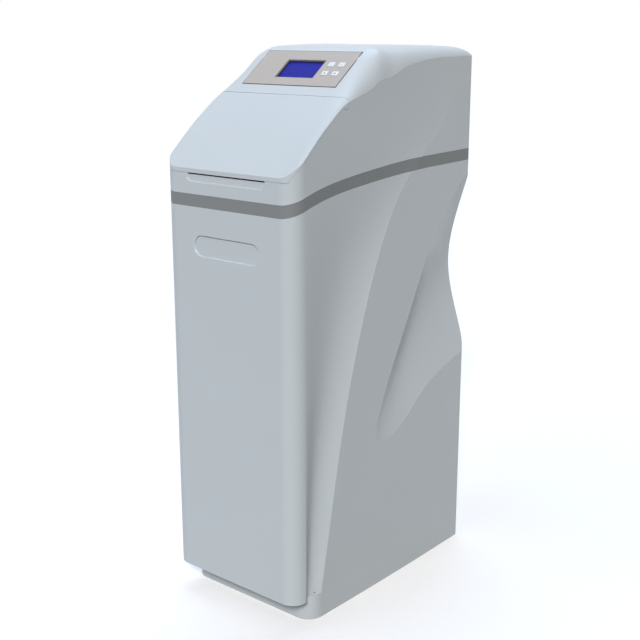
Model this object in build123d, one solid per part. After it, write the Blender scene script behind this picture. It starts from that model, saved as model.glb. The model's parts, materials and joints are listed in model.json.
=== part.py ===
"""Cabinet water softener, built as separate pieces that meet in one frame.

Millimetres, +Z up. The origin is on the floor under the middle of the cabinet's
footprint. The front looks towards -Y and the pipe connections leave towards +Y.
"""

import math
import os

from build123d import *

# Cabinet, overall
CABINET_WIDTH = 320.0
CABINET_DEPTH = 550.0
CABINET_HEIGHT = 1054.0
HALF_W = CABINET_WIDTH / 2
FRONT_Y = -CABINET_DEPTH / 2
BACK_Y = CABINET_DEPTH / 2
SHELL_WALL = 4.0
HOOD_WALL = 3.2
FRONT_CORNER_R = 31.0
REAR_CORNER_R = 14.0
REAR_TAPER = 2.5  # how much each side draws in from its widest place to the rear
SIDE_MIDDLE_Y = 0.0

# Base block under the overhanging front pillar
PLINTH_HEIGHT = 50.0
PLINTH_SETBACK = 47.0
PLINTH_FRONT_Y = FRONT_Y + PLINTH_SETBACK

# Wave ridge on each side: height, valley depth, valley y, crest y, extra crest inset and
# how far the valley turns outwards, in degrees, where it meets the crest
RIDGE_LEVELS = [
    (PLINTH_HEIGHT, 13.0, -229.0, -196.0, 3.5, 28.0),
    (150.0, 16.0, -214.0, -180.0, 0.8, 28.0),
    (300.0, 17.0, -196.0, -152.0, 0.0, 28.0),
    (450.0, 17.0, -172.0, -116.0, 0.0, 26.0),
    (600.0, 16.0, -140.0, -67.0, 0.0, 22.0),
    (720.0, 12.0, -105.0, -14.0, 0.0, 14.0),
    (800.0, 7.0, -60.0, 42.0, 0.0, 8.0),
    (880.0, 4.0, 0.0, 135.0, 0.0, 3.0),
    (970.0, 2.4, 60.0, 200.0, 0.0, 1.5),
    (CABINET_HEIGHT + 16.0, 2.0, 90.0, 215.0, 0.0, 0.8),
]

# Leaf-shaped scallop in each rear edge: y, upper crease z, lower crease z, valley z, depth
SCALLOP_TIP = (-72.0, 222.0)
SCALLOP_SECTIONS = [
    (20.0, 455.0, 292.0, 398.0, 9.0),
    (100.0, 602.0, 353.0, 496.0, 21.0),
    (180.0, 723.0, 400.0, 566.0, 34.0),
    (264.0, 797.0, 425.0, 609.0, 46.5),
    (300.0, 826.0, 437.0, 622.0, 50.0),
]
SCALLOP_UPPER_SHARE = 0.68  # depth halfway up to the upper crease, over the full depth
SCALLOP_LOWER_SHARE = 0.62
SCALLOP_OVERCUT = 6.0

# Seam between cabinet, trim band and hood, as y and z of the band's lower edge
SEAM_POINTS = [
    (FRONT_Y, 773.0),
    (-226.0, 789.0),
    (-94.0, 809.5),
    (52.0, 822.5),
    (BACK_Y, 828.0),
]
BAND_HEIGHT = 22.5
HOOD_GAP = 0.4

# Hood's top line from front to back, as y and z
HOOD_PROFILE = [
    (-291.0, 806.0),
    (-275.0, 839.5),
    (-262.0, 855.0),
    (-250.0, 866.0),
    (-225.0, 889.5),
    (-190.0, 920.5),
    (-150.0, 952.0),
    (-118.0, 975.8),
    (-68.85, 1013.2),
    (-30.6, 1042.3),
    (-24.0, 1046.6),
    (-8.0, 1050.8),
    (30.0, 1053.2),
    (120.0, CABINET_HEIGHT),
    (215.0, 1050.5),
    (255.0, 1045.6),
    (275.0, 1036.0),
    (290.0, 1016.0),
]
# Rounded shoulder of the hood: y, its width and its drop
HOOD_SHOULDER = [
    (-291.0, 18.0, 6.0),
    (-275.0, 22.0, 6.5),
    (-225.0, 37.0, 10.0),
    (-180.0, 38.0, 13.0),
    (-128.0, 34.0, 21.0),
    (-80.0, 43.0, 58.0),
    (-30.0, 46.0, 96.0),
    (28.0, 67.0, 58.0),
    (82.0, 66.0, 45.0),
    (150.0, 76.0, 37.0),
    (215.0, 86.0, 32.0),
    (290.0, 94.0, 24.0),
]
HOOD_STATIONS = 26
SHOULDER_OVERHANG = 0.6

# Salt lid and its hinge
LID_FRONT_Z = 834.0
LID_WALL = 3.0
LID_LIP = 4.5
LID_CORNER_Y = FRONT_Y + 5.0  # where the side seam leaves the lid's front edge
LID_GAP = 0.5
LID_SEAM_Y = -128.0
LID_SLOPE = 37.6
HINGE_DEPTH = 6.6
HINGE_SETBACK = 7.5
HINGE_PIN_R = 1.25
HINGE_CLEARANCE = 0.06
HINGE_EAR_R = 2.7
HINGE_EAR_X = 112.0
HINGE_EAR_T = 4.0
HINGE_BOSS_R = 4.2
HINGE_BOSS_LENGTH = 26.0
HINGE_PIN_LENGTH = 21.0
FLANGE_T = 2.4
SALT_MOUTH_HALF_X = 118.0
SALT_MOUTH_Y = (-247.0, -150.0)

# Grips
HANDLE_LENGTH = 160.0
HANDLE_HEIGHT = 37.5
HANDLE_Z = 702.5
HANDLE_DEPTH = 3.0
FINGER_LENGTH = 189.0
FINGER_HEIGHT = 15.0
FINGER_DEPTH = 3.0
FINGER_CORNER_R = 9.0
FINGER_SLOT_HEIGHT = 3.0
FINGER_SLOT_DEPTH = 13.0
RECESS_RIM = 1.2

# Control panel on the sloping field above the lid
PANEL_Y = -68.85
PANEL_Z = 1013.2
PANEL_ANGLE = 37.3
PANEL_WIDTH = 225.0
PANEL_HEIGHT = 96.0
PANEL_T = 2.5
PANEL_PROUD = 0.5
PANEL_CORNER_R = 2.0
PANEL_FIT = 0.3
LCD_WIDTH = 90.0
LCD_HEIGHT = 48.5
LCD_CENTRE_V = -2.2
LCD_FRAME = 2.5
LCD_RECESS = 1.2
BUTTON_SIZE = (14.0, 11.5)
BUTTON_U = (65.5, 89.5)
BUTTON_V = (-13.2, 11.4)
BUTTON_CLEARANCE = 0.4
BUTTON_PROUD = 1.0
BUTTON_TRAVEL = 0.8
BUTTON_HOLE_R = 1.5
BUTTON_FLANGE = 1.5  # how far the flange stands out past the cap
BUTTON_FLANGE_T = 1.2
BUTTON_FLANGE_GAP = 0.3
BUTTON_FOOT = 4.0
BUTTON_FOOT_GAP = 0.3
PANEL_BACK = PANEL_PROUD - PANEL_T
PANEL_REACH = 30.0  # how far cutters run out past the panel
LCD_BEZEL_T = 5.0
LCD_FIT = 0.2
LCD_T = 3.0
BACKLIGHT_SIZE = (78.0, 36.0)
BACKLIGHT_GAP = 0.2
BOARD_GAP = 9.0
BOARD_SIZE = (205.0, 74.0, 1.6)
BOARD_POST_R = 4.0
BOARD_POST_PLACE = (92.0, 32.0)

# Rear opening of the hood for the pipes
NOTCH_HALF_X = 84.0
NOTCH_TOP_Z = 935.0

# Resin tank, standing in the rear half
TANK_R = 125.0
TANK_Y = 138.0
TANK_WALL = 3.5
TANK_BOTTOM_Z = 14.0
TANK_DOME = 70.0
TANK_NECK_TOP_Z = 812.0
TANK_NECK_R = 39.0
RISER_TOP_Z = TANK_NECK_TOP_Z + 8.0
TANK_BORE_R = 31.5
TANK_SHOULDER_Z = TANK_NECK_TOP_Z - 22.0
BOOT_R = 112.0
BOOT_TOP_Z = 66.0
RESIN_LEVEL_Z = 520.0
RISER_R = 13.35
RISER_WALL = 2.0
RISER_BOTTOM_Z = 50.0
RISER_FIT = 0.1
BASKET_R = 24.0
BASKET_Z = (24.0, 62.0)
BASKET_WALL = 2.5
BASKET_SLOT = 1.2
TOP_BASKET_R = (22.0, 28.0)
TOP_BASKET_LENGTH = 37.8
BED_GAP = 0.3

# Brine well and the safety float inside it
WELL_X = 88.0
WELL_Y = -45.0
WELL_R = 40.0
WELL_WALL = 2.5
WELL_TOP_Z = 730.0
ROD_X = WELL_X + 12.0
PICKUP_X = WELL_X - 14.0
ROD_R = 2.0
FLOAT_R = 13.0
FLOAT_TRAVEL = 25.0
SAFETY_Z = (665.0, 706.0)
WELL_SLOT = (4.0, 50.0)
WELL_CAP_RIM = 3.0
WELL_CAP_T = 5.7
WELL_CAP_GAP = 0.3
SAFETY_LOBE_R = 11.0
SAFETY_ROOF = 3.0
ROD_END_GAP = 5.0
SAFETY_OUTLET_R = 8.0
SAFETY_OUTLET_LENGTH = 28.0
PICKUP_R = 6.0
PICKUP_BORE_R = 4.2
PICKUP_SOCKET = 12.0
AIR_CHECK_R = 14.0
AIR_CHECK_Z = (8.0, 58.0)
AIR_CHECK_SOCKET = 8.0
AIR_CHECK_WALL = 3.0
ROD_BOTTOM_Z = 430.0
FLOAT_Z = (436.0, 500.0)
FLOAT_CLIP_R = 4.5
FLOAT_CLIP_T = 4.0
BRINE_LINE_R = 4.75
BRINE_LINE_BORE_R = 2.5
BRINE_LINE_SOCKET = 10.0
BRINE_EXIT_Z = 690.0
GRID_Z = 140.0
GRID_T = 4.0
GRID_CLEARANCE = 1.5
GRID_FIT = 1.0
GRID_TANK_GAP = 3.0
GRID_BACK_Y = 30.0
GRID_PITCH = 24
GRID_HOLE_R = 4.5
GRID_RIM = 3.5
GRID_LEG_R = 7.0
GRID_LEGS = [(-108.0, -190.0), (108.0, -190.0), (-108.0, -12.0), (30.0, -12.0)]

# Control valve on the tank's neck
VALVE_FLANGE_R = 48.0
PORT_X = 38.0
PORT_Z = 878.0
PORT_R = 17.0
PORT_BORE_R = 12.5
PORT_END_Y = 214.0
BLOCK_HALF = 48.0
BLOCK_Z = (824.0, 906.0)
CHAMBER_R = 48.0
CHAMBER_BORE_R = 38.0
CHAMBER_TOP_Z = 926.0
CHAMBER_DEPTH = 17.0
CHAMBER_FLOOR_Z = CHAMBER_TOP_Z - CHAMBER_DEPTH
WATERWAY_FLOOR_Z = 885.0
NECK_PLUG_LENGTH = 20.0
NECK_PLUG_FIT = 0.2
NECK_SEAL_R = 37.5
NECK_SEAL_T = 2.0
DISC_T = 7.5
DISC_CLEARANCE = 0.1
DISC_FIT = 0.1
DISC_PORT_R = 7.0
DISC_PORT_CIRCLE_R = 22.0
DISC_PORT_ANGLES = (45.0, 135.0, 225.0, 315.0)
DISC_CHANNEL = (40.0, 14.0, 5.0)
DISC_CHANNEL_ROOF = 0.5
SHAFT_R = 7.0
HUB_R = 20.0
RUNNING_CLEARANCE = 0.06
SCREW_COUNT = 6
SCREW_R = 2.0
SCREW_FIT = 0.2
SCREW_CIRCLE_R = 43.0
SCREW_DEPTH = 11.0
SCREW_HEAD = (3.6, 2.6)
BONNET_T = 9.0
BONNET_TOP_Z = CHAMBER_TOP_Z + BONNET_T
GEAR_MODULE = 1.0
GEAR_TEETH = 60
PINION_TEETH = 17
GEAR_FACE = 8.0
GEAR_Z = BONNET_TOP_Z + 4.0
GEAR_BACKLASH = 0.16
PRESSURE_ANGLE = 20.0
MOTOR_R = 17.0
MOTOR_LENGTH = 34.0
MOTOR_BOSS = (6.0, 3.0)
MOTOR_SHAFT_R = 1.5
MOTOR_SHAFT_DEPTH = 8.0
MOTOR_Y = TANK_Y - GEAR_MODULE * (GEAR_TEETH + PINION_TEETH) / 2
MOTOR_PLATE_Z = GEAR_Z + GEAR_FACE + 3.0
MOTOR_PLATE_T = 3.0
MOTOR_PLATE_HALF_X = 44.0
PLATE_POST_R = 3.5
PLATE_POST_PLACE = (39.0, 12.0)
COVER_WALL = 2.5
COVER_TOP_Z = 1004.0
COVER_HALF_X = 53.0
COVER_FRONT_Y = MOTOR_Y - MOTOR_R - 6.0
COVER_REAR_Y = TANK_Y + 52.0
COVER_CORNER_R = 10.0
COVER_EDGE_R = 5.0
POWER_X = 28.0
POWER_Z = 962.0
POWER_SOCKET_R = 4.0
POWER_RIM = (6.0, 2.5)
POWER_BORE_R = 2.75
BRINE_PORT_X = 20.0
BRINE_PORT_Z = 850.0
BRINE_PORT_R = 5.0
BRINE_NUT_R = 9.0
DRAIN_Y = 150.0
DRAIN_Z = 884.0
DRAIN_PORT_R = 10.0
DRAIN_PORT_BORE_R = 6.5
DRAIN_SPIGOT_FIT = 0.2
DRAIN_BARB_LENGTH = 42.0
DRAIN_WAY_X = -26.0
ELBOW_X = -BLOCK_HALF - 20.0
INJECTOR_Z = 846.0
INJECTOR_R = 6.0
INJECTOR_WAY_X = 18.0
INJECTOR_JET_R = 1.2
INJECTOR_CAP = (16.0, 13.0, 7.0)
BARB_R = 7.0
BARB_BORE_R = 4.5
BARB_PITCH = 6.5
BARB_RINGS = 3
METER_AXLE_R = 1.0
METER_BLADES = 6
METER_RING_Y = PORT_END_Y - 9.0
METER_RING_T = 5.0
METER_ROTOR_Y = PORT_END_Y - 16.0
SENSOR_HALF_X = 8.0
SENSOR_Y = (190.0, 201.0)
SENSOR_SINK = 4.0
SENSOR_HEIGHT = 13.0

# Bypass valve behind the cabinet
PORT_SEAL_T = 1.5
PORT_FIT = 0.05
UNION_NUT = (24.0, 10, 24.0)
UNION_NUT_OVERLAP = 11.0
BYPASS_START_Y = PORT_END_Y + PORT_SEAL_T
BYPASS_END_Y = 318.0
ROTOR_Y = 296.0
ROTOR_R = 15.0
ROTOR_HOUSING_R = 19.5
ROTOR_Z = (859.0, 897.0)
ROTOR_END_GAP = 0.3
ROTOR_CAP_T = 5.0
CROSS_WAY_R = (14.0, 9.5)
STEM_R = 5.0
LEVER_GAP = 4.0
LEVER_HUB_R = 10.0
LEVER_LENGTH = 34.0
LEVER_WIDTH = 13.0
LEVER_T = 7.0
NIPPLE_R = 13.2
NIPPLE_LENGTH = 22.0
NIPPLE_BORE_R = 9.5
NIPPLE_HEX_R = 20.0
NIPPLE_HEX_T = 9.0

# Overflow through the rear wall
OVERFLOW_X = -85.0
OVERFLOW_Z = 700.0
OVERFLOW_R = 10.0
OVERFLOW_FIT = 0.3
OVERFLOW_ELBOW_Y = BACK_Y + 17.0
OVERFLOW_RIM = (16.0, 4.0)
OVERFLOW_NUT = (17.0, 8.0)
OVERFLOW_BARB_LENGTH = 38.0

# Brine line from the safety valve to the control valve
BRINE_ROUTE = [
    (WELL_X, WELL_Y + SAFETY_OUTLET_LENGTH - BRINE_LINE_SOCKET, BRINE_EXIT_Z),
    (WELL_X, 26.0, BRINE_EXIT_Z),
    (76.0, 26.0, 800.0),
    (BRINE_PORT_X, 20.0, BRINE_PORT_Z),
    (BRINE_PORT_X, TANK_Y - BLOCK_HALF - 5, BRINE_PORT_Z),
]

BIG = 400.0


def sind(angle):
    """Sine of an angle in degrees."""
    return math.sin(math.radians(angle))


def cosd(angle):
    """Cosine of an angle in degrees."""
    return math.cos(math.radians(angle))


def cyl_z(radius, z_low, z_high, x=0.0, y=0.0):
    """Upright cylinder between two heights."""
    return Pos(x, y, (z_low + z_high) / 2) * Cylinder(radius, z_high - z_low)


def cyl_y(radius, y_low, y_high, x=0.0, z=0.0):
    """Cylinder along Y between two places."""
    turned = Rot(90, 0, 0) * Cylinder(radius, y_high - y_low)
    return Pos(x, (y_low + y_high) / 2, z) * turned


def cyl_x(radius, x_low, x_high, y=0.0, z=0.0):
    """Cylinder along X between two places."""
    turned = Rot(0, 90, 0) * Cylinder(radius, x_high - x_low)
    return Pos((x_low + x_high) / 2, y, z) * turned


def block(x, y, z):
    """Box from three (low, high) pairs."""
    size = [high - low for low, high in (x, y, z)]
    middle = [(high + low) / 2 for low, high in (x, y, z)]
    return Pos(*middle) * Box(*size)


def both_sides(shape):
    """The shape and its mirror image in the middle plane."""
    return shape + mirror(shape, Plane.YZ)


def extrude_x(outline, half=BIG / 2):
    """Solid from a closed outline drawn in the Y-Z plane, extruded both ways along X."""
    return extrude(Plane.YZ * make_face(outline), amount=half, both=True)


# Sculpted outer form


def side_x(y, inset=0.0):
    """Half width of the gently bowed side at a place along the cabinet."""
    return HALF_W - inset - REAR_TAPER * ((y - SIDE_MIDDLE_Y) / (BACK_Y - SIDE_MIDDLE_Y)) ** 2


def plan_section(level, inset):
    """Horizontal section of the cabinet at one level, drawn in by an inset."""
    z, valley, valley_y, crest_y, crest_in, turn = level
    half = HALF_W - inset
    front = FRONT_Y + inset
    back = BACK_Y - inset
    r_front = FRONT_CORNER_R - inset
    r_rear = REAR_CORNER_R - inset
    rear = (side_x(back, inset), back - r_rear)
    crest = (side_x(crest_y, inset) - crest_in, crest_y)
    middle_y = (crest_y + rear[1]) / 2
    corner = (side_x(FRONT_Y + FRONT_CORNER_R, inset), front + r_front)
    right = [
        Line((0, front), (corner[0] - r_front, front)),
        RadiusArc((corner[0] - r_front, front), corner, -r_front),
        Spline(
            corner,
            (half - valley, valley_y),
            crest,
            tangents=[(0, 1), (sind(turn), cosd(turn))],
            tangent_scalars=[0.5, 0.5],
        ),
        ThreePointArc(crest, (side_x(middle_y, inset) - crest_in / 3, middle_y), rear),
        RadiusArc(rear, (rear[0] - r_rear, back), -r_rear),
        Line((rear[0] - r_rear, back), (0, back)),
    ]
    left = [edge.mirror(Plane.YZ) for edge in right]
    return Plane.XY.offset(z) * make_face(Wire(right + left))


def upper_form(inset):
    """The cabinet and hood above the base block, as one smooth column."""
    sections = []
    for z, *rest in RIDGE_LEVELS:
        lifted = z + inset if z == PLINTH_HEIGHT else z
        sections.append(plan_section((lifted, *rest), inset))
    return loft(sections)


def base_form(inset):
    """The block under the pillar's overhang, which stands on the floor."""
    _, _, _, crest_y, crest_in, _ = RIDGE_LEVELS[0]
    front = PLINTH_FRONT_Y + inset
    back = BACK_Y - inset
    r_front = crest_y - front
    r_rear = REAR_CORNER_R - inset
    rear = (side_x(back, inset), back - r_rear)
    crest = (side_x(crest_y, inset) - crest_in, crest_y)
    middle_y = (crest_y + rear[1]) / 2
    right = [
        Line((0, front), (crest[0] - r_front, front)),
        RadiusArc((crest[0] - r_front, front), crest, -r_front),
        ThreePointArc(crest, (side_x(middle_y, inset) - crest_in / 3, middle_y), rear),
        RadiusArc(rear, (rear[0] - r_rear, back), -r_rear),
        Line((rear[0] - r_rear, back), (0, back)),
    ]
    left = [edge.mirror(Plane.YZ) for edge in right]
    face = Plane.XY.offset(inset) * make_face(Wire(right + left))
    return extrude(face, amount=PLINTH_HEIGHT)


def scallop_section(section):
    """Outline of the scallop's cutter in one plane across the cabinet."""
    y, z_up, z_low, z_valley, depth = section
    out = SCALLOP_OVERCUT
    rise_up = out * (z_up - z_valley) / depth
    rise_low = out * (z_valley - z_low) / depth
    x_side = side_x(y)
    top = (x_side + out, z_up + rise_up)
    bottom = (x_side + out, z_low - rise_low)
    far = x_side + 5 * out
    curve = Spline(
        top,
        (x_side - SCALLOP_UPPER_SHARE * depth, (z_up + z_valley) / 2),
        (x_side - depth, z_valley),
        (x_side - SCALLOP_LOWER_SHARE * depth, (z_low + z_valley) / 2),
        bottom,
    )
    closing = Polyline(bottom, (far, bottom[1]), (far, top[1]), top)
    plane = Plane(origin=(0, y, 0), x_dir=(1, 0, 0), z_dir=(0, -1, 0))
    return plane * make_face(curve + closing)


def scallop_cutter(inset):
    """What the scallop takes out of the right side; an inset moves it inwards."""
    tip = Vertex(HALF_W + SCALLOP_OVERCUT, *SCALLOP_TIP)
    cutter = loft([tip] + [scallop_section(s) for s in SCALLOP_SECTIONS])
    return Pos(-inset, 0, 0) * cutter


def column(inset):
    """Whole outer form, drawn in by an inset, with both scallops carved."""
    carved = upper_form(inset) + base_form(inset)
    cutter = scallop_cutter(inset)
    return carved - cutter - mirror(cutter, Plane.YZ)


def seam_region(lift, above):
    """Everything above or below the seam curve, raised by a lift."""
    first, last = SEAM_POINTS[0], SEAM_POINTS[-1]
    points = [(y, z + lift) for y, z in SEAM_POINTS]
    curve = Spline(*points, tangents=[(1, 0.42), (1, 0.02)])
    before = (first[0] - 60, first[1] + lift)
    after = (last[0] + 160, last[1] + lift)
    limit = BIG * 4 if above else -BIG
    closing = Polyline(points[-1], after, (after[0], limit), (before[0], limit), before, points[0])
    return extrude_x(curve + closing)


def between(points, y, column):
    """Smooth value of one column of a table at a place along the cabinet."""
    places = [p[0] for p in points]
    k = max(i for i in range(len(points) - 1) if places[i] <= y)
    step = places[k + 1] - places[k]
    slopes = []
    for i in (k, k + 1):
        low, high = max(i - 1, 0), min(i + 1, len(points) - 1)
        slopes.append((points[high][column] - points[low][column]) / (places[high] - places[low]))
    t = (y - places[k]) / step
    first, last = points[k][column], points[k + 1][column]
    bend = slopes[0] * step * t * (1 - t) ** 2 - slopes[1] * step * t * t * (1 - t)
    return first + (last - first) * t * t * (3 - 2 * t) + bend


def hood_top(y):
    """Height of the hood's middle line at a place along the cabinet."""
    return between(HOOD_PROFILE, y, 1)


def hood_section(y, inset):
    """Section of the hood across its width, from below the seam to its top."""
    slope = hood_top(y + 1) - hood_top(y - 1)
    top = hood_top(y) - inset * math.hypot(1, slope / 2)
    width, drop = between(HOOD_SHOULDER, y, 1), between(HOOD_SHOULDER, y, 2)
    half = HALF_W - inset + SHOULDER_OVERHANG
    start = HALF_W - width
    low = 600.0
    right = [
        Line((0, top), (start, top)),
        Spline((start, top), (half, top - drop), tangents=[(1, 0), (0, -1)]),
        Line((half, top - drop), (half, low)),
        Line((half, low), (0, low)),
    ]
    plane = Plane(origin=(0, y, 0), x_dir=(1, 0, 0), z_dir=(0, -1, 0))
    left = [edge.mirror(Plane.YZ) for edge in right]
    return plane * make_face(Wire(right + left))


def hood_form(inset):
    """The rounded top of the hood as a long tunnel, to be met by the column."""
    first, last = HOOD_PROFILE[0][0] + 2, HOOD_PROFILE[-1][0] - 2
    step = (last - first) / (HOOD_STATIONS - 1)
    return loft([hood_section(first + k * step, inset) for k in range(HOOD_STATIONS)])


# Lid geometry in the slope's own directions


def slope_point(along, out):
    """Point in the Y-Z plane, measured from the lid's top seam along and out of the slope."""
    y = LID_SEAM_Y + along * cosd(LID_SLOPE) - out * sind(LID_SLOPE)
    z = hood_top(LID_SEAM_Y) + along * sind(LID_SLOPE) + out * cosd(LID_SLOPE)
    return (y, z)


HINGE_Y, HINGE_Z = slope_point(-HINGE_SETBACK, -HINGE_DEPTH)
KNUCKLE_R = math.hypot(HINGE_SETBACK, HINGE_DEPTH)


def lid_region(gap):
    """Space that the lid takes, made larger all round by a gap."""
    drop = LID_LIP + gap
    low = []
    for y, top in HOOD_PROFILE:
        if FRONT_Y + 10 < y < LID_SEAM_Y - 20:
            slope = math.atan(hood_top(y + 0.5) - hood_top(y - 0.5))
            low.append((y + drop * math.sin(slope), top - drop * math.cos(slope)))
    start = (FRONT_Y - 40, LID_FRONT_Z - gap)
    corner = (LID_CORNER_Y + gap, LID_FRONT_Z - gap)
    hinge_low = slope_point(-HINGE_SETBACK - KNUCKLE_R, -LID_LIP - gap)
    back_low = slope_point(gap, -HINGE_DEPTH)
    back_high = slope_point(gap, 90)
    curve = Spline(corner, *low, hinge_low)
    closing = Polyline(hinge_low, (HINGE_Y, HINGE_Z), back_low, back_high, (start[0], 1100), start, corner)
    region = extrude_x(curve + closing)
    return region + cyl_x(KNUCKLE_R + gap, -BIG / 2, BIG / 2, HINGE_Y, HINGE_Z)


def hinge_boss(x_low, x_high, radius):
    """Round boss on the lid's hinge line, on both sides."""
    return both_sides(cyl_x(radius, x_low, x_high, HINGE_Y, HINGE_Z))


# Cabinet pieces


def make_cabinet_shell(outer, inner):
    """Brine cabinet: walls, floor, overhanging pillar and shallow front recess."""
    body = outer & seam_region(0, above=False)
    plane = Plane(origin=(0, FRONT_Y, HANDLE_Z), x_dir=(1, 0, 0), z_dir=(0, -1, 0))
    backing = SlotOverall(HANDLE_LENGTH + 2 * SHELL_WALL, HANDLE_HEIGHT + 2 * SHELL_WALL)
    keep = extrude(plane * backing, amount=-(HANDLE_DEPTH + SHELL_WALL))
    outline = SlotOverall(HANDLE_LENGTH, HANDLE_HEIGHT)
    rim_outline = SlotOverall(HANDLE_LENGTH + 2 * RECESS_RIM, HANDLE_HEIGHT + 2 * RECESS_RIM)
    cut = rimmed_recess(plane, outline, rim_outline, HANDLE_DEPTH, RECESS_RIM)
    shell = body - (inner - keep) - cut
    return shell - cyl_y(OVERFLOW_R + OVERFLOW_FIT, BACK_Y - 20, BACK_Y + 20, OVERFLOW_X, OVERFLOW_Z)


def make_trim_band(outer, inner):
    """Dark trim ring between the cabinet and the hood."""
    ring = outer & seam_region(0, above=True) & seam_region(BAND_HEIGHT, above=False)
    return ring - inner


# Hood pieces


def rimmed_recess(plane, outline, rim_outline, depth, rim):
    """Cutter for a shallow recess whose edge is bevelled all round."""
    deep = extrude(plane * outline, amount=-depth)
    return deep + extrude(plane * rim_outline, amount=-rim, taper=45)


def finger_recess(grow, depth, rim=0.0):
    """Shallow pocket in the hood's front lip, under the lid's edge."""
    corner_r = FINGER_CORNER_R + grow
    length = FINGER_LENGTH + 2 * grow
    height = FINGER_HEIGHT + 2 * FINGER_CORNER_R + 2 * grow
    z_mid = LID_FRONT_Z - FINGER_HEIGHT / 2 + FINGER_CORNER_R
    plane = Plane(origin=(0, FRONT_Y, z_mid), x_dir=(1, 0, 0), z_dir=(0, -1, 0))
    outline = RectangleRounded(length, height, corner_r)
    if not rim:
        return extrude(plane * outline, amount=-depth)
    rim_outline = RectangleRounded(length + 2 * rim, height + 2 * rim, corner_r + rim)
    return rimmed_recess(plane, outline, rim_outline, depth, rim)


def panel_plane(out=0.0):
    """Plane of the control panel, moved out of the hood by a distance."""
    normal = (0, -sind(PANEL_ANGLE), cosd(PANEL_ANGLE))
    return Plane(origin=(0, PANEL_Y, PANEL_Z), x_dir=(1, 0, 0), z_dir=normal).offset(out)


def panel_slab(width, height, out_low, out_high, u=0.0, v=0.0, corner_r=0.0):
    """Slab parallel to the panel, between two distances out of the hood."""
    outline = RectangleRounded(width, height, corner_r) if corner_r else Rectangle(width, height)
    face = panel_plane(out_low) * (Pos(u, v) * outline)
    return extrude(face, amount=out_high - out_low)


def button_places():
    """Middle of each button in the panel's own directions."""
    return [(u, v) for v in BUTTON_V for u in BUTTON_U]


def make_hood_shell(outer, tunnel):
    """Hood with its front lip, salt mouth, hinge ears, panel seat and rear opening."""
    inner = upper_form(HOOD_WALL) & hood_form(HOOD_WALL)
    solid = outer & tunnel & seam_region(BAND_HEIGHT + HOOD_GAP, above=True)
    shell = solid - inner
    shell = shell + (finger_recess(HOOD_WALL, FINGER_DEPTH + HOOD_WALL) & outer)
    shell = shell - lid_region(LID_GAP)
    flange = (lid_region(LID_GAP + FLANGE_T) - lid_region(LID_GAP)) & inner
    mouth = block((-SALT_MOUTH_HALF_X, SALT_MOUTH_HALF_X), SALT_MOUTH_Y, (SEAM_POINTS[0][1], CABINET_HEIGHT))
    shell = shell + (flange - mouth)
    shell = shell - finger_recess(0, FINGER_DEPTH, RECESS_RIM) - finger_slot()
    shell = shell + both_sides(hinge_ear())
    seat = panel_slab(
        PANEL_WIDTH + 2 * PANEL_FIT,
        PANEL_HEIGHT + 2 * PANEL_FIT,
        PANEL_BACK,
        PANEL_REACH,
        corner_r=PANEL_CORNER_R + PANEL_FIT,
    )
    shell = shell - seat - panel_openings(LCD_FRAME) + board_posts()
    notch = block((-NOTCH_HALF_X, NOTCH_HALF_X), (BACK_Y - 40, BACK_Y + 40), (SEAM_POINTS[0][1], NOTCH_TOP_Z))
    return shell - notch


def finger_slot():
    """Slot at the top of the finger recess, under the lid's edge."""
    return block(
        (-FINGER_LENGTH / 2, FINGER_LENGTH / 2),
        (FRONT_Y - 1, FRONT_Y + FINGER_SLOT_DEPTH),
        (LID_FRONT_Z - FINGER_SLOT_HEIGHT, LID_FRONT_Z),
    )


def hinge_ear():
    """Upright ear that carries one hinge pin inside the lid."""
    ear_end = HINGE_EAR_X + HINGE_EAR_T
    ring = cyl_x(HINGE_EAR_R, HINGE_EAR_X, ear_end, HINGE_Y, HINGE_Z)
    reach = KNUCKLE_R + LID_GAP + FLANGE_T / 2
    stem = Rot(LID_SLOPE, 0, 0) * Pos(0, 0, -reach / 2) * Box(HINGE_EAR_T, 2 * HINGE_EAR_R, reach)
    stem = Pos(HINGE_EAR_X + HINGE_EAR_T / 2, HINGE_Y, HINGE_Z) * stem
    return ring + stem - cyl_x(HINGE_PIN_R, HINGE_EAR_X - 1, ear_end + 1, HINGE_Y, HINGE_Z)


def panel_openings(frame):
    """Holes for the display and the buttons, through whatever lies behind the panel."""
    width, height = LCD_WIDTH + 2 * frame, LCD_HEIGHT + 2 * frame
    cut = panel_slab(width, height, -PANEL_REACH, PANEL_REACH, v=LCD_CENTRE_V)
    for u, v in button_places():
        width = BUTTON_SIZE[0] + 2 * BUTTON_CLEARANCE
        height = BUTTON_SIZE[1] + 2 * BUTTON_CLEARANCE
        cut = cut + panel_slab(width, height, -PANEL_REACH, PANEL_REACH, u, v, BUTTON_HOLE_R)
    return cut


def board_posts():
    """Four short posts under the panel that hold the display board."""
    place_u, place_v = BOARD_POST_PLACE
    posts = []
    for u in (-place_u, place_u):
        for v in (-place_v, place_v):
            face = panel_plane(-BOARD_GAP) * (Pos(u, v) * Circle(BOARD_POST_R))
            posts.append(extrude(face, amount=BOARD_GAP + PANEL_BACK - HOOD_WALL / 5))
    return posts


def make_salt_lid(outer, tunnel):
    """Full-width lid with a turned-down lip and two hinge bosses."""
    solid = outer & tunnel & lid_region(0)
    inner = upper_form(LID_WALL) & hood_form(LID_WALL)
    lid = solid - inner
    start = HINGE_EAR_X + HINGE_EAR_T + LID_GAP
    lid = lid + hinge_boss(start, start + HINGE_BOSS_LENGTH, HINGE_BOSS_R)
    bore_end = HINGE_EAR_X + HINGE_PIN_LENGTH + LID_GAP
    return lid - hinge_boss(start - 1, bore_end, HINGE_PIN_R + HINGE_CLEARANCE)


def make_lid_hinge_pins():
    """Two steel pins, one in each ear."""
    return hinge_boss(HINGE_EAR_X, HINGE_EAR_X + HINGE_PIN_LENGTH, HINGE_PIN_R)


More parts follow.
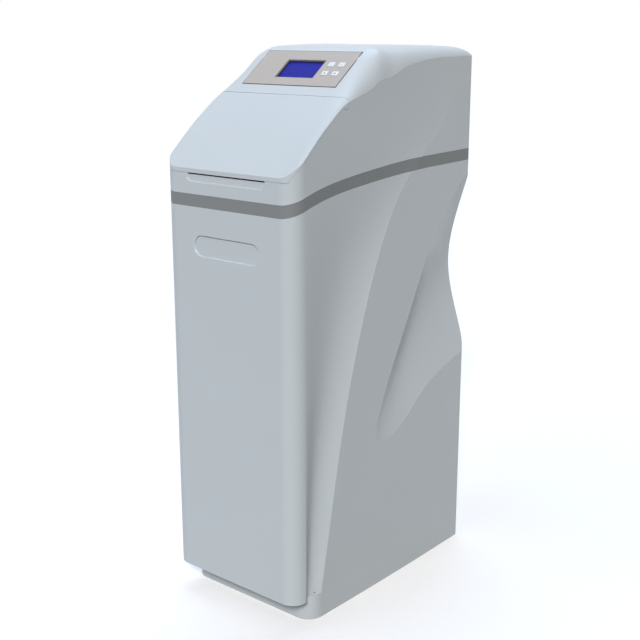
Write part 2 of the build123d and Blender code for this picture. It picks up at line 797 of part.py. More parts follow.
def make_panel_plate():
    """Face plate with the display opening and four button holes."""
    plate = panel_slab(
        PANEL_WIDTH,
        PANEL_HEIGHT,
        PANEL_BACK,
        PANEL_PROUD,
        corner_r=PANEL_CORNER_R,
    )
    return plate - panel_openings(0.0)


def make_lcd_bezel():
    """Black frame behind the display opening."""
    low = PANEL_BACK - LCD_BEZEL_T
    width, height = LCD_WIDTH + 2 * LCD_FRAME - 2 * LCD_FIT, LCD_HEIGHT + 2 * LCD_FRAME - 2 * LCD_FIT
    frame = panel_slab(width, height, low, PANEL_BACK, v=LCD_CENTRE_V)
    return frame - panel_slab(*lcd_window(), low - 1, PANEL_BACK + 1, v=LCD_CENTRE_V)


def lcd_window():
    """Width and height of the display inside its frame."""
    return LCD_WIDTH - 2 * LCD_FRAME, LCD_HEIGHT - 2 * LCD_FRAME


def make_lcd_screen():
    """Display glass held in the bezel."""
    high = PANEL_BACK - LCD_RECESS
    return panel_slab(*lcd_window(), high - LCD_T, high, v=LCD_CENTRE_V)


def make_button(u, v):
    """Push button with a flange under the plate and a plunger towards the board."""
    width, height = BUTTON_SIZE
    stop = -HOOD_WALL - BUTTON_FLANGE_GAP
    cap = panel_slab(width, height, stop, PANEL_PROUD + BUTTON_PROUD, u, v, BUTTON_HOLE_R - 0.3)
    low = stop - BUTTON_FLANGE_T
    flange = panel_slab(width + 2 * BUTTON_FLANGE, height + 2 * BUTTON_FLANGE, low, stop, u, v)
    foot_low = BUTTON_TRAVEL + BUTTON_FOOT_GAP - BOARD_GAP
    return cap + flange + panel_slab(BUTTON_FOOT, BUTTON_FOOT, foot_low, low, u, v)


def make_display_board():
    """Circuit board behind the panel, with a backlight block under the display."""
    width, height, thick = BOARD_SIZE
    board = panel_slab(width, height, -BOARD_GAP - thick, -BOARD_GAP)
    light_top = PANEL_BACK - LCD_RECESS - LCD_T - BACKLIGHT_GAP
    return board + panel_slab(*BACKLIGHT_SIZE, -BOARD_GAP, light_top, v=LCD_CENTRE_V)


# Resin tank and what it holds


def tank_profile(shrink):
    """Half outline of the vessel about its axis; a shrink gives the inner surface."""
    r = TANK_R - shrink
    low = TANK_BOTTOM_Z + shrink
    neck = TANK_NECK_R if shrink == 0 else TANK_BORE_R
    neck_low = TANK_SHOULDER_Z - shrink
    top_start = TANK_SHOULDER_Z - TANK_DOME
    bottom_mid = (0.62 * r, low + 0.2 * TANK_DOME)
    top_mid = (0.69 * r, top_start + 0.72 * (neck_low - top_start))
    edges = [
        Line((0, TANK_NECK_TOP_Z), (0, low)),
        ThreePointArc((0, low), bottom_mid, (r, low + TANK_DOME)),
        Line((r, low + TANK_DOME), (r, top_start)),
        ThreePointArc((r, top_start), top_mid, (neck, neck_low)),
        Line((neck, neck_low), (neck, TANK_NECK_TOP_Z)),
        Line((neck, TANK_NECK_TOP_Z), (0, TANK_NECK_TOP_Z)),
    ]
    return Plane.XZ * make_face(Wire(edges))


def tank_solid(shrink):
    """Solid of revolution of the vessel's outer or inner surface."""
    return Pos(0, TANK_Y, 0) * revolve(tank_profile(shrink), Axis.Z)


def make_resin_tank():
    """Wound pressure vessel, open at its neck."""
    return tank_solid(0) - tank_solid(TANK_WALL)


def make_tank_boot():
    """Ring that holds the vessel's round bottom upright."""
    ring = cyl_z(BOOT_R, SHELL_WALL, BOOT_TOP_Z, y=TANK_Y)
    ring = ring - cyl_z(BOOT_R * 0.55, 0, BOOT_TOP_Z + 1, y=TANK_Y)
    return ring - tank_solid(0)


def make_resin_bed():
    """Bed of resin beads around the riser tube."""
    bed = tank_solid(TANK_WALL) & cyl_z(TANK_R, 0, RESIN_LEVEL_Z, y=TANK_Y)
    bed = bed - cyl_z(BASKET_R + BED_GAP, 0, BASKET_Z[1] + BED_GAP, y=TANK_Y)
    return bed - cyl_z(RISER_R + BED_GAP, 0, RESIN_LEVEL_Z + 1, y=TANK_Y)


def make_riser_tube():
    """Centre tube from the bottom basket to the valve."""
    tube = cyl_z(RISER_R, RISER_BOTTOM_Z, RISER_TOP_Z, y=TANK_Y)
    return tube - cyl_z(RISER_R - RISER_WALL, RISER_BOTTOM_Z - 1, RISER_TOP_Z + 1, y=TANK_Y)


def slot_ring(radius, z_low, z_high, count):
    """Radial slots round an upright wall."""
    bar = Box(2 * radius + 10, BASKET_SLOT, z_high - z_low)
    middle = Pos(0, TANK_Y, (z_low + z_high) / 2)
    return [middle * Rot(0, 0, k * 180.0 / count) * bar for k in range(count)]


def make_bottom_basket():
    """Slotted basket that collects the treated water."""
    low, high = BASKET_Z
    outside = cyl_z(BASKET_R, low, high, y=TANK_Y)
    hollow = cyl_z(BASKET_R - BASKET_WALL, low + BASKET_WALL, RISER_BOTTOM_Z, y=TANK_Y)
    slots = slot_ring(BASKET_R, low + 6, RISER_BOTTOM_Z - 4, 6)
    return outside - hollow - slots - cyl_z(RISER_R, RISER_BOTTOM_Z - 1, high + 1, y=TANK_Y)


def make_top_basket():
    """Slotted cone under the valve that keeps the resin in."""
    high = TANK_NECK_TOP_Z - NECK_PLUG_LENGTH - NECK_PLUG_FIT
    low = high - TOP_BASKET_LENGTH
    r_low, r_high = TOP_BASKET_R
    middle = Pos(0, TANK_Y, (low + high) / 2)
    outside = middle * Cone(r_low, r_high, high - low)
    hollow = middle * Cone(r_low - BASKET_WALL, r_high - BASKET_WALL, high - low - 2 * BASKET_WALL)
    slots = slot_ring(r_high, low + 8, high - 8, 5)
    return outside - hollow - slots - cyl_z(RISER_R + RISER_FIT, low - 1, high + 1, y=TANK_Y)


# Control valve


def disc_ports(z_low, z_high):
    """The four upright waterways under and through the fixed disc."""
    ports = []
    for angle in DISC_PORT_ANGLES:
        x, y = DISC_PORT_CIRCLE_R * cosd(angle), TANK_Y + DISC_PORT_CIRCLE_R * sind(angle)
        ports.append(cyl_z(DISC_PORT_R, z_low, z_high, x, y))
    return ports


def make_valve_body():
    """Valve casting with its tank thread, waterways, disc chamber and ports."""
    seat_z = TANK_NECK_TOP_Z + NECK_SEAL_T
    block_low, block_high = BLOCK_Z
    side = (-BLOCK_HALF, BLOCK_HALF)
    middle = block(side, (TANK_Y - BLOCK_HALF, TANK_Y + BLOCK_HALF), BLOCK_Z)
    body = fillet(middle.edges().filter_by(Axis.Z), 8)
    body = body + cyl_z(TANK_BORE_R - NECK_PLUG_FIT, TANK_NECK_TOP_Z - NECK_PLUG_LENGTH, seat_z, y=TANK_Y)
    body = body + cyl_z(VALVE_FLANGE_R, seat_z, block_low + 1, y=TANK_Y)
    body = body + cyl_z(CHAMBER_R, block_high - 1, CHAMBER_TOP_Z, y=TANK_Y)
    for x in (-PORT_X, PORT_X):
        body = body + cyl_y(PORT_R, TANK_Y, PORT_END_Y, x, PORT_Z)
    body = body + cyl_x(DRAIN_PORT_R, ELBOW_X + DRAIN_PORT_R, -20, DRAIN_Y, DRAIN_Z)
    body = body - cyl_z(CHAMBER_BORE_R, CHAMBER_FLOOR_Z, CHAMBER_TOP_Z + 1, y=TANK_Y)
    body = body - cyl_z(RISER_R, TANK_NECK_TOP_Z - NECK_PLUG_LENGTH - 1, RISER_TOP_Z, y=TANK_Y)
    body = body - cyl_z(RISER_R - RISER_WALL, TANK_NECK_TOP_Z, PORT_Z - PORT_R, y=TANK_Y)
    for x in (-PORT_X, PORT_X):
        body = body - cyl_y(PORT_BORE_R, TANK_Y + 8, PORT_END_Y + 1, x, PORT_Z)
    body = body - disc_ports(WATERWAY_FLOOR_Z, CHAMBER_TOP_Z)
    body = body - cyl_x(DRAIN_PORT_BORE_R, ELBOW_X, DRAIN_WAY_X, DRAIN_Y, DRAIN_Z)
    body = body - cyl_x(INJECTOR_R, INJECTOR_WAY_X, BLOCK_HALF + 1, TANK_Y, INJECTOR_Z)
    face = TANK_Y - BLOCK_HALF
    body = body - cyl_y(BRINE_PORT_R, face - 1, face + 18, BRINE_PORT_X, BRINE_PORT_Z)
    screw_low = CHAMBER_TOP_Z - SCREW_DEPTH - 1
    holes = [cyl_z(SCREW_R, screw_low, CHAMBER_TOP_Z + 1, x, y) for x, y in bonnet_screw_places()]
    return body - holes


def bonnet_screw_places():
    """Centres of the bonnet screws."""
    angles = [(k + 0.5) * 360 / SCREW_COUNT for k in range(SCREW_COUNT)]
    return [(SCREW_CIRCLE_R * cosd(a), TANK_Y + SCREW_CIRCLE_R * sind(a)) for a in angles]


def make_tank_seal():
    """Rubber ring between the tank's neck and the valve's flange."""
    low, high = TANK_NECK_TOP_Z, TANK_NECK_TOP_Z + NECK_SEAL_T
    ring = cyl_z(NECK_SEAL_R, low, high, y=TANK_Y)
    return ring - cyl_z(TANK_BORE_R, low - 1, high + 1, y=TANK_Y)


def make_fixed_disc():
    """Ceramic disc with four ports, seated in the chamber."""
    high = CHAMBER_FLOOR_Z + DISC_T
    disc = cyl_z(CHAMBER_BORE_R - DISC_FIT, CHAMBER_FLOOR_Z, high, y=TANK_Y)
    return disc - disc_ports(CHAMBER_FLOOR_Z - 1, high + 1)


def make_moving_disc():
    """Ceramic disc that turns on the fixed one and joins its ports in pairs."""
    low = CHAMBER_FLOOR_Z + DISC_T + DISC_CLEARANCE
    disc = cyl_z(CHAMBER_BORE_R - 2, low, low + DISC_T, y=TANK_Y)
    length, width, depth = DISC_CHANNEL
    for side in (-1, 1):
        place = Pos(0, TANK_Y + side * (DISC_PORT_CIRCLE_R - 5), low + depth / 2 - DISC_CHANNEL_ROOF)
        disc = disc - place * Box(length, width, depth)
    return disc


def make_drive_shaft():
    """Stem that turns the moving disc."""
    low = CHAMBER_FLOOR_Z + 2 * DISC_T + DISC_CLEARANCE
    hub = cyl_z(HUB_R, low, CHAMBER_TOP_Z - 0.4, y=TANK_Y)
    return hub + cyl_z(SHAFT_R, CHAMBER_TOP_Z - 1, GEAR_Z + GEAR_FACE + 2, y=TANK_Y)


def make_valve_bonnet():
    """Cover of the disc chamber, with the shaft's bore."""
    low, high = CHAMBER_TOP_Z - 1, BONNET_TOP_Z + 1
    cover = cyl_z(CHAMBER_R, CHAMBER_TOP_Z, BONNET_TOP_Z, y=TANK_Y)
    holes = [cyl_z(SHAFT_R + RUNNING_CLEARANCE, low, high, y=TANK_Y)]
    for x, y in bonnet_screw_places():
        holes.append(cyl_z(SCREW_R + SCREW_FIT, low, high, x, y))
    return cover - holes


def make_bonnet_screws():
    """Pan-head screws through the bonnet."""
    screws = None
    head_r, head_t = SCREW_HEAD
    for x, y in bonnet_screw_places():
        screw = cyl_z(SCREW_R, CHAMBER_TOP_Z - SCREW_DEPTH, BONNET_TOP_Z, x, y)
        screw = screw + cyl_z(head_r, BONNET_TOP_Z, BONNET_TOP_Z + head_t, x, y)
        screws = screw if screws is None else screws + screw
    return screws


def involute_point(base_r, radius, turn, side):
    """Point of an involute flank at a radius, turned from the tooth's middle."""
    roll = math.sqrt(max((radius / base_r) ** 2 - 1, 0.0))
    angle = turn - (roll - math.atan(roll))
    return (radius * math.cos(side * angle), radius * math.sin(side * angle))


def gear_outline(teeth, phase):
    """Closed outline of a spur gear with involute flanks, first tooth at a phase in degrees."""
    pitch_r = GEAR_MODULE * teeth / 2
    base_r = pitch_r * cosd(PRESSURE_ANGLE)
    tip_r = pitch_r + 0.9 * GEAR_MODULE
    root_r = pitch_r - 1.2 * GEAR_MODULE
    half_tooth = (math.pi * GEAR_MODULE / 4 - GEAR_BACKLASH / 2) / pitch_r
    pitch_roll = math.tan(math.radians(PRESSURE_ANGLE))
    turn_to_base = half_tooth + pitch_roll - math.radians(PRESSURE_ANGLE)
    start_r = max(base_r, root_r + 0.02)
    radii = [start_r + (tip_r - start_r) * k / 3 for k in range(4)]
    points = []
    for tooth in range(teeth):
        turn = math.radians(phase + 360.0 * tooth / teeth)
        rising = [involute_point(base_r, r, turn_to_base, -1) for r in radii]
        falling = [involute_point(base_r, r, turn_to_base, 1) for r in reversed(radii)]
        foot = root_r / start_r
        flank = [(rising[0][0] * foot, rising[0][1] * foot)] + rising
        flank = flank + falling + [(falling[-1][0] * foot, falling[-1][1] * foot)]
        for x, y in flank:
            points.append(
                (
                    x * math.cos(turn) - y * math.sin(turn),
                    x * math.sin(turn) + y * math.cos(turn),
                )
            )
    return Polyline(*points, close=True)


def make_gear(teeth, phase, bore, y):
    """Spur gear on the gear level, standing on its own axis."""
    face = Pos(0, y, GEAR_Z) * make_face(gear_outline(teeth, phase))
    wheel = extrude(face, amount=GEAR_FACE)
    return wheel - cyl_z(bore, GEAR_Z - 1, GEAR_Z + GEAR_FACE + 1, y=y) if bore else wheel


def make_drive_gear():
    """Large gear on the valve's shaft, with a tooth towards the pinion."""
    return make_gear(GEAR_TEETH, -90.0, SHAFT_R, TANK_Y)


def make_motor_pinion():
    """Small gear in one piece with its shaft, with a gap towards the large gear."""
    wheel = make_gear(PINION_TEETH, 90.0 + 180.0 / PINION_TEETH, 0, MOTOR_Y)
    top = MOTOR_PLATE_Z + MOTOR_PLATE_T + MOTOR_SHAFT_DEPTH
    return wheel + cyl_z(MOTOR_SHAFT_R, GEAR_Z - 1, top, y=MOTOR_Y)


def make_gear_plate():
    """Plate on posts above the gears that carries the motor."""
    low, high = MOTOR_PLATE_Z, MOTOR_PLATE_Z + MOTOR_PLATE_T
    half = MOTOR_PLATE_HALF_X
    plate = block((-half, half), (MOTOR_Y - MOTOR_R + 1, TANK_Y + half), (low, high))
    post_x, post_y = PLATE_POST_PLACE
    for x in (-post_x, post_x):
        for y in (TANK_Y - post_y, TANK_Y + post_y):
            plate = plate + cyl_z(PLATE_POST_R, BONNET_TOP_Z, low + 1, x, y)
    return plate - cyl_z(MOTOR_SHAFT_R + RUNNING_CLEARANCE, low - 1, high + 1, y=MOTOR_Y)


def make_gear_motor():
    """Geared motor that turns the pinion."""
    low = MOTOR_PLATE_Z + MOTOR_PLATE_T
    boss_r, boss_t = MOTOR_BOSS
    motor = cyl_z(MOTOR_R, low, low + MOTOR_LENGTH, y=MOTOR_Y)
    motor = motor + cyl_z(boss_r, low + MOTOR_LENGTH - 1, low + MOTOR_LENGTH + boss_t, y=MOTOR_Y)
    return motor - cyl_z(MOTOR_SHAFT_R + RUNNING_CLEARANCE, low - 1, low + MOTOR_SHAFT_DEPTH + 1, y=MOTOR_Y)


def make_gearbox_cover():
    """Cover over the gears and the motor, standing on the bonnet."""
    wall = COVER_WALL
    outside = block((-COVER_HALF_X, COVER_HALF_X), (COVER_FRONT_Y, COVER_REAR_Y), (BONNET_TOP_Z, COVER_TOP_Z))
    outside = fillet(outside.edges().filter_by(Axis.Z), COVER_CORNER_R)
    outside = fillet(outside.faces().sort_by(Axis.Z)[-1].edges(), COVER_EDGE_R)
    inside = block(
        (wall - COVER_HALF_X, COVER_HALF_X - wall),
        (COVER_FRONT_Y + wall, COVER_REAR_Y - wall),
        (BONNET_TOP_Z - 1, COVER_TOP_Z - wall),
    )
    inside = fillet(inside.edges().filter_by(Axis.Z), COVER_CORNER_R - wall)
    return outside - inside - cyl_y(POWER_SOCKET_R, COVER_REAR_Y - 10, COVER_REAR_Y + 10, POWER_X, POWER_Z)


def make_power_inlet():
    """Round low-voltage socket in the cover's rear wall."""
    rim_r, rim_t = POWER_RIM
    socket = cyl_y(POWER_SOCKET_R, COVER_REAR_Y - 8, COVER_REAR_Y, POWER_X, POWER_Z)
    socket = socket + cyl_y(rim_r, COVER_REAR_Y, COVER_REAR_Y + rim_t, POWER_X, POWER_Z)
    return socket - cyl_y(POWER_BORE_R, COVER_REAR_Y - 5, COVER_REAR_Y + rim_t + 1, POWER_X, POWER_Z)


def make_injector_cap():
    """Plate that closes the injector's bore on the valve's side."""
    half_y, half_z, thick = INJECTOR_CAP
    cap = block(
        (BLOCK_HALF, BLOCK_HALF + thick),
        (TANK_Y - half_y, TANK_Y + half_y),
        (INJECTOR_Z - half_z, INJECTOR_Z + half_z),
    )
    return fillet(cap.edges().filter_by(Axis.X), 5)


def make_injector_nozzle():
    """Small nozzle in the injector's bore that draws in the brine."""
    shoulder = INJECTOR_WAY_X + 8
    nozzle = cyl_x(INJECTOR_R, shoulder, BLOCK_HALF, TANK_Y, INJECTOR_Z)
    taper = Rot(0, 90, 0) * Cone(INJECTOR_R - 3.5, INJECTOR_R - 1, 6)
    nozzle = nozzle + Pos(shoulder - 2, TANK_Y, INJECTOR_Z) * taper
    return nozzle - cyl_x(INJECTOR_JET_R, INJECTOR_WAY_X, BLOCK_HALF + 1, TANK_Y, INJECTOR_Z)


def barb_rings(length):
    """Hose barb along +Z from the origin, saw-tooth rings on a straight core."""
    barb = Pos(0, 0, length / 2) * Cylinder(BARB_R - 0.8, length)
    for k in range(BARB_RINGS):
        ring = Cone(BARB_R, BARB_R - 1.2, BARB_PITCH - 1.5)
        barb = barb + Pos(0, 0, length - 2.5 - BARB_PITCH * k) * ring
    return barb


def make_drain_elbow():
    """Elbow on the drain port, with a hose barb towards the rear."""
    spigot_r = DRAIN_PORT_BORE_R - DRAIN_SPIGOT_FIT
    port_end = ELBOW_X + DRAIN_PORT_R
    body = cyl_x(spigot_r, port_end - 2, port_end + 8, DRAIN_Y, DRAIN_Z)
    body = body + cyl_x(DRAIN_PORT_R, ELBOW_X, port_end, DRAIN_Y, DRAIN_Z)
    body = body + Pos(ELBOW_X, DRAIN_Y, DRAIN_Z) * Sphere(DRAIN_PORT_R)
    body = body + Pos(ELBOW_X, DRAIN_Y, DRAIN_Z) * (Rot(-90, 0, 0) * barb_rings(DRAIN_BARB_LENGTH))
    body = body - cyl_x(BARB_BORE_R, ELBOW_X, port_end + 10, DRAIN_Y, DRAIN_Z)
    return body - cyl_y(BARB_BORE_R, DRAIN_Y, DRAIN_Y + DRAIN_BARB_LENGTH + 1, ELBOW_X, DRAIN_Z)


def make_brine_fitting():
    """Compression fitting that takes the brine line into the valve."""
    face = TANK_Y - BLOCK_HALF
    x, z = BRINE_PORT_X, BRINE_PORT_Z
    body = cyl_y(BRINE_PORT_R, face - 2, face + 9, x, z)
    nut = Pos(x, face - 8, z) * (Rot(90, 0, 0) * extrude(RegularPolygon(BRINE_NUT_R, 6), 8, both=True))
    body = body + nut - cyl_y(BRINE_LINE_R, face - 17, face - 5, x, z)
    return body - cyl_y(BRINE_LINE_BORE_R, face - 17, face + 10, x, z)


def make_meter_spider():
    """Flow straightener with the turbine's axle, seated in the outlet port."""
    y, high = METER_RING_Y, METER_RING_Y + METER_RING_T
    ring = cyl_y(PORT_BORE_R, y, high, PORT_X, PORT_Z)
    ring = ring - cyl_y(PORT_BORE_R - 1.5, y - 1, high + 1, PORT_X, PORT_Z)
    for k in range(3):
        arm = Rot(0, 60.0 * k, 0) * Box(2 * PORT_BORE_R - 2, METER_RING_T, 1.4)
        ring = ring + Pos(PORT_X, (y + high) / 2, PORT_Z) * arm
    return ring + cyl_y(METER_AXLE_R, y - 14, y + 1, PORT_X, PORT_Z)


def make_meter_turbine():
    """Bladed rotor that counts the water."""
    y = METER_ROTOR_Y
    hub = cyl_y(3.2, y - 5, y + 5, PORT_X, PORT_Z)
    for k in range(METER_BLADES):
        blade = Pos(6.6, 0, 0) * (Rot(35, 0, 0) * Box(8.4, 9, 0.9))
        hub = hub + Pos(PORT_X, y, PORT_Z) * (Rot(0, k * 360.0 / METER_BLADES, 0) * blade)
    return hub - cyl_y(METER_AXLE_R + RUNNING_CLEARANCE, y - 8, y + 8, PORT_X, PORT_Z)


def make_meter_sensor():
    """Pick-up clipped over the outlet port."""
    low = PORT_Z + PORT_R - SENSOR_SINK
    side = (PORT_X - SENSOR_HALF_X, PORT_X + SENSOR_HALF_X)
    sensor = block(side, SENSOR_Y, (low, low + SENSOR_HEIGHT))
    return sensor - cyl_y(PORT_R, SENSOR_Y[0] - 10, SENSOR_Y[1] + 10, PORT_X, PORT_Z)


# Bypass valve


def make_union_nuts():
    """Two ribbed nuts that pull the bypass on to the valve's ports."""
    nuts = None
    radius, sides, length = UNION_NUT
    low = PORT_END_Y - UNION_NUT_OVERLAP
    for x in (-PORT_X, PORT_X):
        nut = Pos(x, low, PORT_Z) * (Rot(-90, 0, 0) * extrude(RegularPolygon(radius, sides), length))
        nut = nut - cyl_y(PORT_R + PORT_FIT, low - 1, low + length + 2, x, PORT_Z)
        nuts = nut if nuts is None else nuts + nut
    return nuts


def make_port_seals():
    """Two flat rubber rings between valve and bypass."""
    seals = None
    for x in (-PORT_X, PORT_X):
        seal = cyl_y(PORT_R - 0.3, PORT_END_Y, BYPASS_START_Y, x, PORT_Z)
        seal = seal - cyl_y(PORT_BORE_R + 0.5, PORT_END_Y - 1, BYPASS_START_Y + 1, x, PORT_Z)
        seals = seal if seals is None else seals + seal
    return seals


def make_bypass_body():
    """Bypass casting: two straight ways, a cross way and two plug housings."""
    body = cyl_x(CROSS_WAY_R[0], -PORT_X, PORT_X, ROTOR_Y, PORT_Z)
    web_y = (BYPASS_START_Y + 16, BYPASS_START_Y + 24)
    body = body + block((-PORT_X, PORT_X), web_y, (PORT_Z - 10, PORT_Z + 10))
    cuts = [cyl_x(CROSS_WAY_R[1], -PORT_X, PORT_X, ROTOR_Y, PORT_Z)]
    top = ROTOR_Z[1] + ROTOR_CAP_T
    for x in (-PORT_X, PORT_X):
        body = body + cyl_y(PORT_R, BYPASS_START_Y, BYPASS_END_Y, x, PORT_Z)
        body = body + cyl_z(ROTOR_HOUSING_R, ROTOR_Z[0] - 3, top, x, ROTOR_Y)
        cuts.append(cyl_y(PORT_BORE_R, BYPASS_START_Y - 1, BYPASS_END_Y + 1, x, PORT_Z))
        cuts.append(cyl_z(ROTOR_R + RUNNING_CLEARANCE, ROTOR_Z[0], top + 1, x, ROTOR_Y))
    return body - cuts


def make_rotor(x):
    """Plug with a straight way and a stem for its lever."""
    plug = cyl_z(ROTOR_R, ROTOR_Z[0] + ROTOR_END_GAP, ROTOR_Z[1] - ROTOR_END_GAP, x, ROTOR_Y)
    plug = plug - cyl_y(PORT_BORE_R - 1.5, ROTOR_Y - 20, ROTOR_Y + 20, x, PORT_Z)
    stem_top = ROTOR_Z[1] + ROTOR_CAP_T + LEVER_GAP + LEVER_T
    return plug + cyl_z(STEM_R, ROTOR_Z[1] - 1, stem_top, x, ROTOR_Y)


def make_rotor_caps():
    """Two caps that keep the plugs in their housings."""
    caps = None
    for x in (-PORT_X, PORT_X):
        low, high = ROTOR_Z[1], ROTOR_Z[1] + ROTOR_CAP_T
        cap = cyl_z(ROTOR_R + RUNNING_CLEARANCE, low, high, x, ROTOR_Y)
        cap = cap - cyl_z(STEM_R + RUNNING_CLEARANCE, low - 1, high + 1, x, ROTOR_Y)
        caps = cap if caps is None else caps + cap
    return caps


def make_lever(x):
    """Lever on a plug's stem, pointing to the rear in service."""
    low = ROTOR_Z[1] + ROTOR_CAP_T + LEVER_GAP
    high = low + LEVER_T
    end = ROTOR_Y + LEVER_LENGTH
    lever = block((x - LEVER_WIDTH / 2, x + LEVER_WIDTH / 2), (ROTOR_Y, end), (low, high))
    lever = lever + cyl_z(LEVER_HUB_R, low, high, x, ROTOR_Y)
    lever = lever + cyl_z(LEVER_WIDTH / 2, low, high, x, end)
    return lever - cyl_z(STEM_R, low - 1, high + 1, x, ROTOR_Y)


def make_nipple(x):
    """Threaded pipe nipple with a spanner flat, in the end of the bypass."""
    nipple = cyl_y(PORT_BORE_R, BYPASS_END_Y - 5.5, BYPASS_END_Y + 1, x, PORT_Z)
    hexagon = Rot(-90, 0, 0) * extrude(RegularPolygon(NIPPLE_HEX_R, 6), NIPPLE_HEX_T)
    nipple = nipple + Pos(x, BYPASS_END_Y, PORT_Z) * hexagon
    hex_end = BYPASS_END_Y + NIPPLE_HEX_T
    end = hex_end + NIPPLE_LENGTH
    nipple = nipple + cyl_y(NIPPLE_R, hex_end - 1, end, x, PORT_Z)
    return nipple - cyl_y(NIPPLE_BORE_R, BYPASS_END_Y - 10, end + 1, x, PORT_Z)


# Brine pieces


def make_brine_well():
    """Upright tube that keeps the salt away from the float."""
    tube = cyl_z(WELL_R, SHELL_WALL, WELL_TOP_Z, WELL_X, WELL_Y)
    tube = tube - cyl_z(WELL_R - WELL_WALL, SHELL_WALL - 1, WELL_TOP_Z + 1, WELL_X, WELL_Y)
    width, height = WELL_SLOT
    for k in range(4):
        slot = Rot(0, 0, 45.0 * k) * Box(2 * WELL_R + 10, width, height)
        tube = tube - Pos(WELL_X, WELL_Y, SHELL_WALL + 20 + height / 2) * slot
    return tube - cyl_y(BRINE_LINE_R + 1.0, WELL_Y, WELL_Y + WELL_R + 5, WELL_X, BRINE_EXIT_Z)


def make_brine_well_cap():
    """Lift-off cap of the brine well."""
    low = WELL_TOP_Z + WELL_CAP_GAP
    high = low + WELL_CAP_T
    skirt_r = WELL_R - WELL_WALL - 0.5
    cap = cyl_z(WELL_R + WELL_CAP_RIM, low, high, WELL_X, WELL_Y)
    skirt = cyl_z(skirt_r, WELL_TOP_Z - 10, low + 1, WELL_X, WELL_Y)
    cap = cap + (skirt - cyl_z(skirt_r - 2.5, WELL_TOP_Z - 11, low + 2, WELL_X, WELL_Y))
    return cap + block((WELL_X - 16, WELL_X + 16), (WELL_Y - 3, WELL_Y + 3), (high - 1, high + 12))


def make_safety_valve_body():
    """Head of the safety float valve, over the rod and the pick-up tube."""
    low, high = SAFETY_Z
    outlet_end = WELL_Y + SAFETY_OUTLET_LENGTH
    body = block((PICKUP_X, ROD_X), (WELL_Y - 8, WELL_Y + 8), (low, high))
    for x in (PICKUP_X, ROD_X):
        body = body + cyl_z(SAFETY_LOBE_R, low, high, x, WELL_Y)
    body = body + cyl_y(SAFETY_OUTLET_R, WELL_Y, outlet_end, WELL_X, BRINE_EXIT_Z)
    cuts = [
        cyl_z(ROD_R + RUNNING_CLEARANCE, low - 1, high - SAFETY_ROOF, ROD_X, WELL_Y),
        cyl_z(PICKUP_R, low - 1, low + PICKUP_SOCKET, PICKUP_X, WELL_Y),
        cyl_z(PICKUP_BORE_R - 1.2, low, BRINE_EXIT_Z, PICKUP_X, WELL_Y),
        cyl_y(BRINE_LINE_R, outlet_end - BRINE_LINE_SOCKET, outlet_end + 1, WELL_X, BRINE_EXIT_Z),
        cyl_y(BRINE_LINE_BORE_R, WELL_Y, outlet_end + 1, WELL_X, BRINE_EXIT_Z),
    ]
    return body - cuts


def make_pickup_tube():
    """Tube that draws the brine up from the air check."""
    low, high = AIR_CHECK_Z[1] - AIR_CHECK_SOCKET, SAFETY_Z[0] + PICKUP_SOCKET
    tube = cyl_z(PICKUP_R, low, high, PICKUP_X, WELL_Y)
    return tube - cyl_z(PICKUP_BORE_R, low - 1, high + 1, PICKUP_X, WELL_Y)


def make_air_check():
    """Slotted cage at the foot of the pick-up tube."""
    low, high = AIR_CHECK_Z
    wall = AIR_CHECK_WALL
    cage = cyl_z(AIR_CHECK_R, low, high, PICKUP_X, WELL_Y)
    cage = cage - cyl_z(AIR_CHECK_R - wall, low + wall, high - AIR_CHECK_SOCKET - 4, PICKUP_X, WELL_Y)
    for k in range(4):
        slot = Rot(0, 0, 45.0 * k) * Box(40, 2, 22)
        cage = cage - Pos(PICKUP_X, WELL_Y, low + 18) * slot
    return cage - cyl_z(PICKUP_R, high - AIR_CHECK_SOCKET, high + 1, PICKUP_X, WELL_Y)


def make_float_rod():
    """Rod that closes the safety valve when the float lifts it."""
    top = SAFETY_Z[1] - SAFETY_ROOF - FLOAT_TRAVEL - ROD_END_GAP
    rod = cyl_z(ROD_R, ROD_BOTTOM_Z, top, ROD_X, WELL_Y)
    return rod + cyl_z(FLOAT_CLIP_R, FLOAT_Z[0] - FLOAT_CLIP_T, FLOAT_Z[0], ROD_X, WELL_Y)


def make_brine_float():
    """Hollow float on the rod."""
    low, high = FLOAT_Z
    body = cyl_z(FLOAT_R, low, high, ROD_X, WELL_Y)
    body = fillet(body.edges().filter_by(GeomType.CIRCLE), 4)
    return body - cyl_z(ROD_R, low - 1, high + 1, ROD_X, WELL_Y)


def route_radii(points):
    """Largest tidy bend radius at each inner point of a route."""
    radii = []
    for a, b, c in zip(points, points[1:], points[2:]):
        first, second = Vector(*b) - Vector(*a), Vector(*c) - Vector(*b)
        half_turn = math.radians(first.get_angle(second) / 2)
        radii.append(0.45 * min(first.length, second.length) / math.tan(half_turn))
    return radii


def make_brine_line():
    """Flexible line from the safety valve to the control valve, made whole."""
    path = FilletPolyline(*BRINE_ROUTE, radius=route_radii(BRINE_ROUTE))
    start = Plane(origin=BRINE_ROUTE[0], z_dir=(0, 1, 0))
    return sweep(start * Circle(BRINE_LINE_R), path=path)


def grid_hole_places():
    """Centres of the shelf's holes, clear of the legs, the well and the tank."""
    reach = GRID_HOLE_R + GRID_RIM
    places = []
    for x in range(-5 * GRID_PITCH, 6 * GRID_PITCH, GRID_PITCH):
        for y in range(int(FRONT_Y) + 25, 1, GRID_PITCH):
            near_well = math.hypot(x - WELL_X, y - WELL_Y) < WELL_R + reach
            near_tank = math.hypot(x, y - TANK_Y) < TANK_R + GRID_TANK_GAP + reach
            near_leg = any(math.hypot(x - a, y - b) < GRID_LEG_R + reach for a, b in GRID_LEGS)
            if not (near_well or near_tank or near_leg):
                places.append((x, y))
    return places


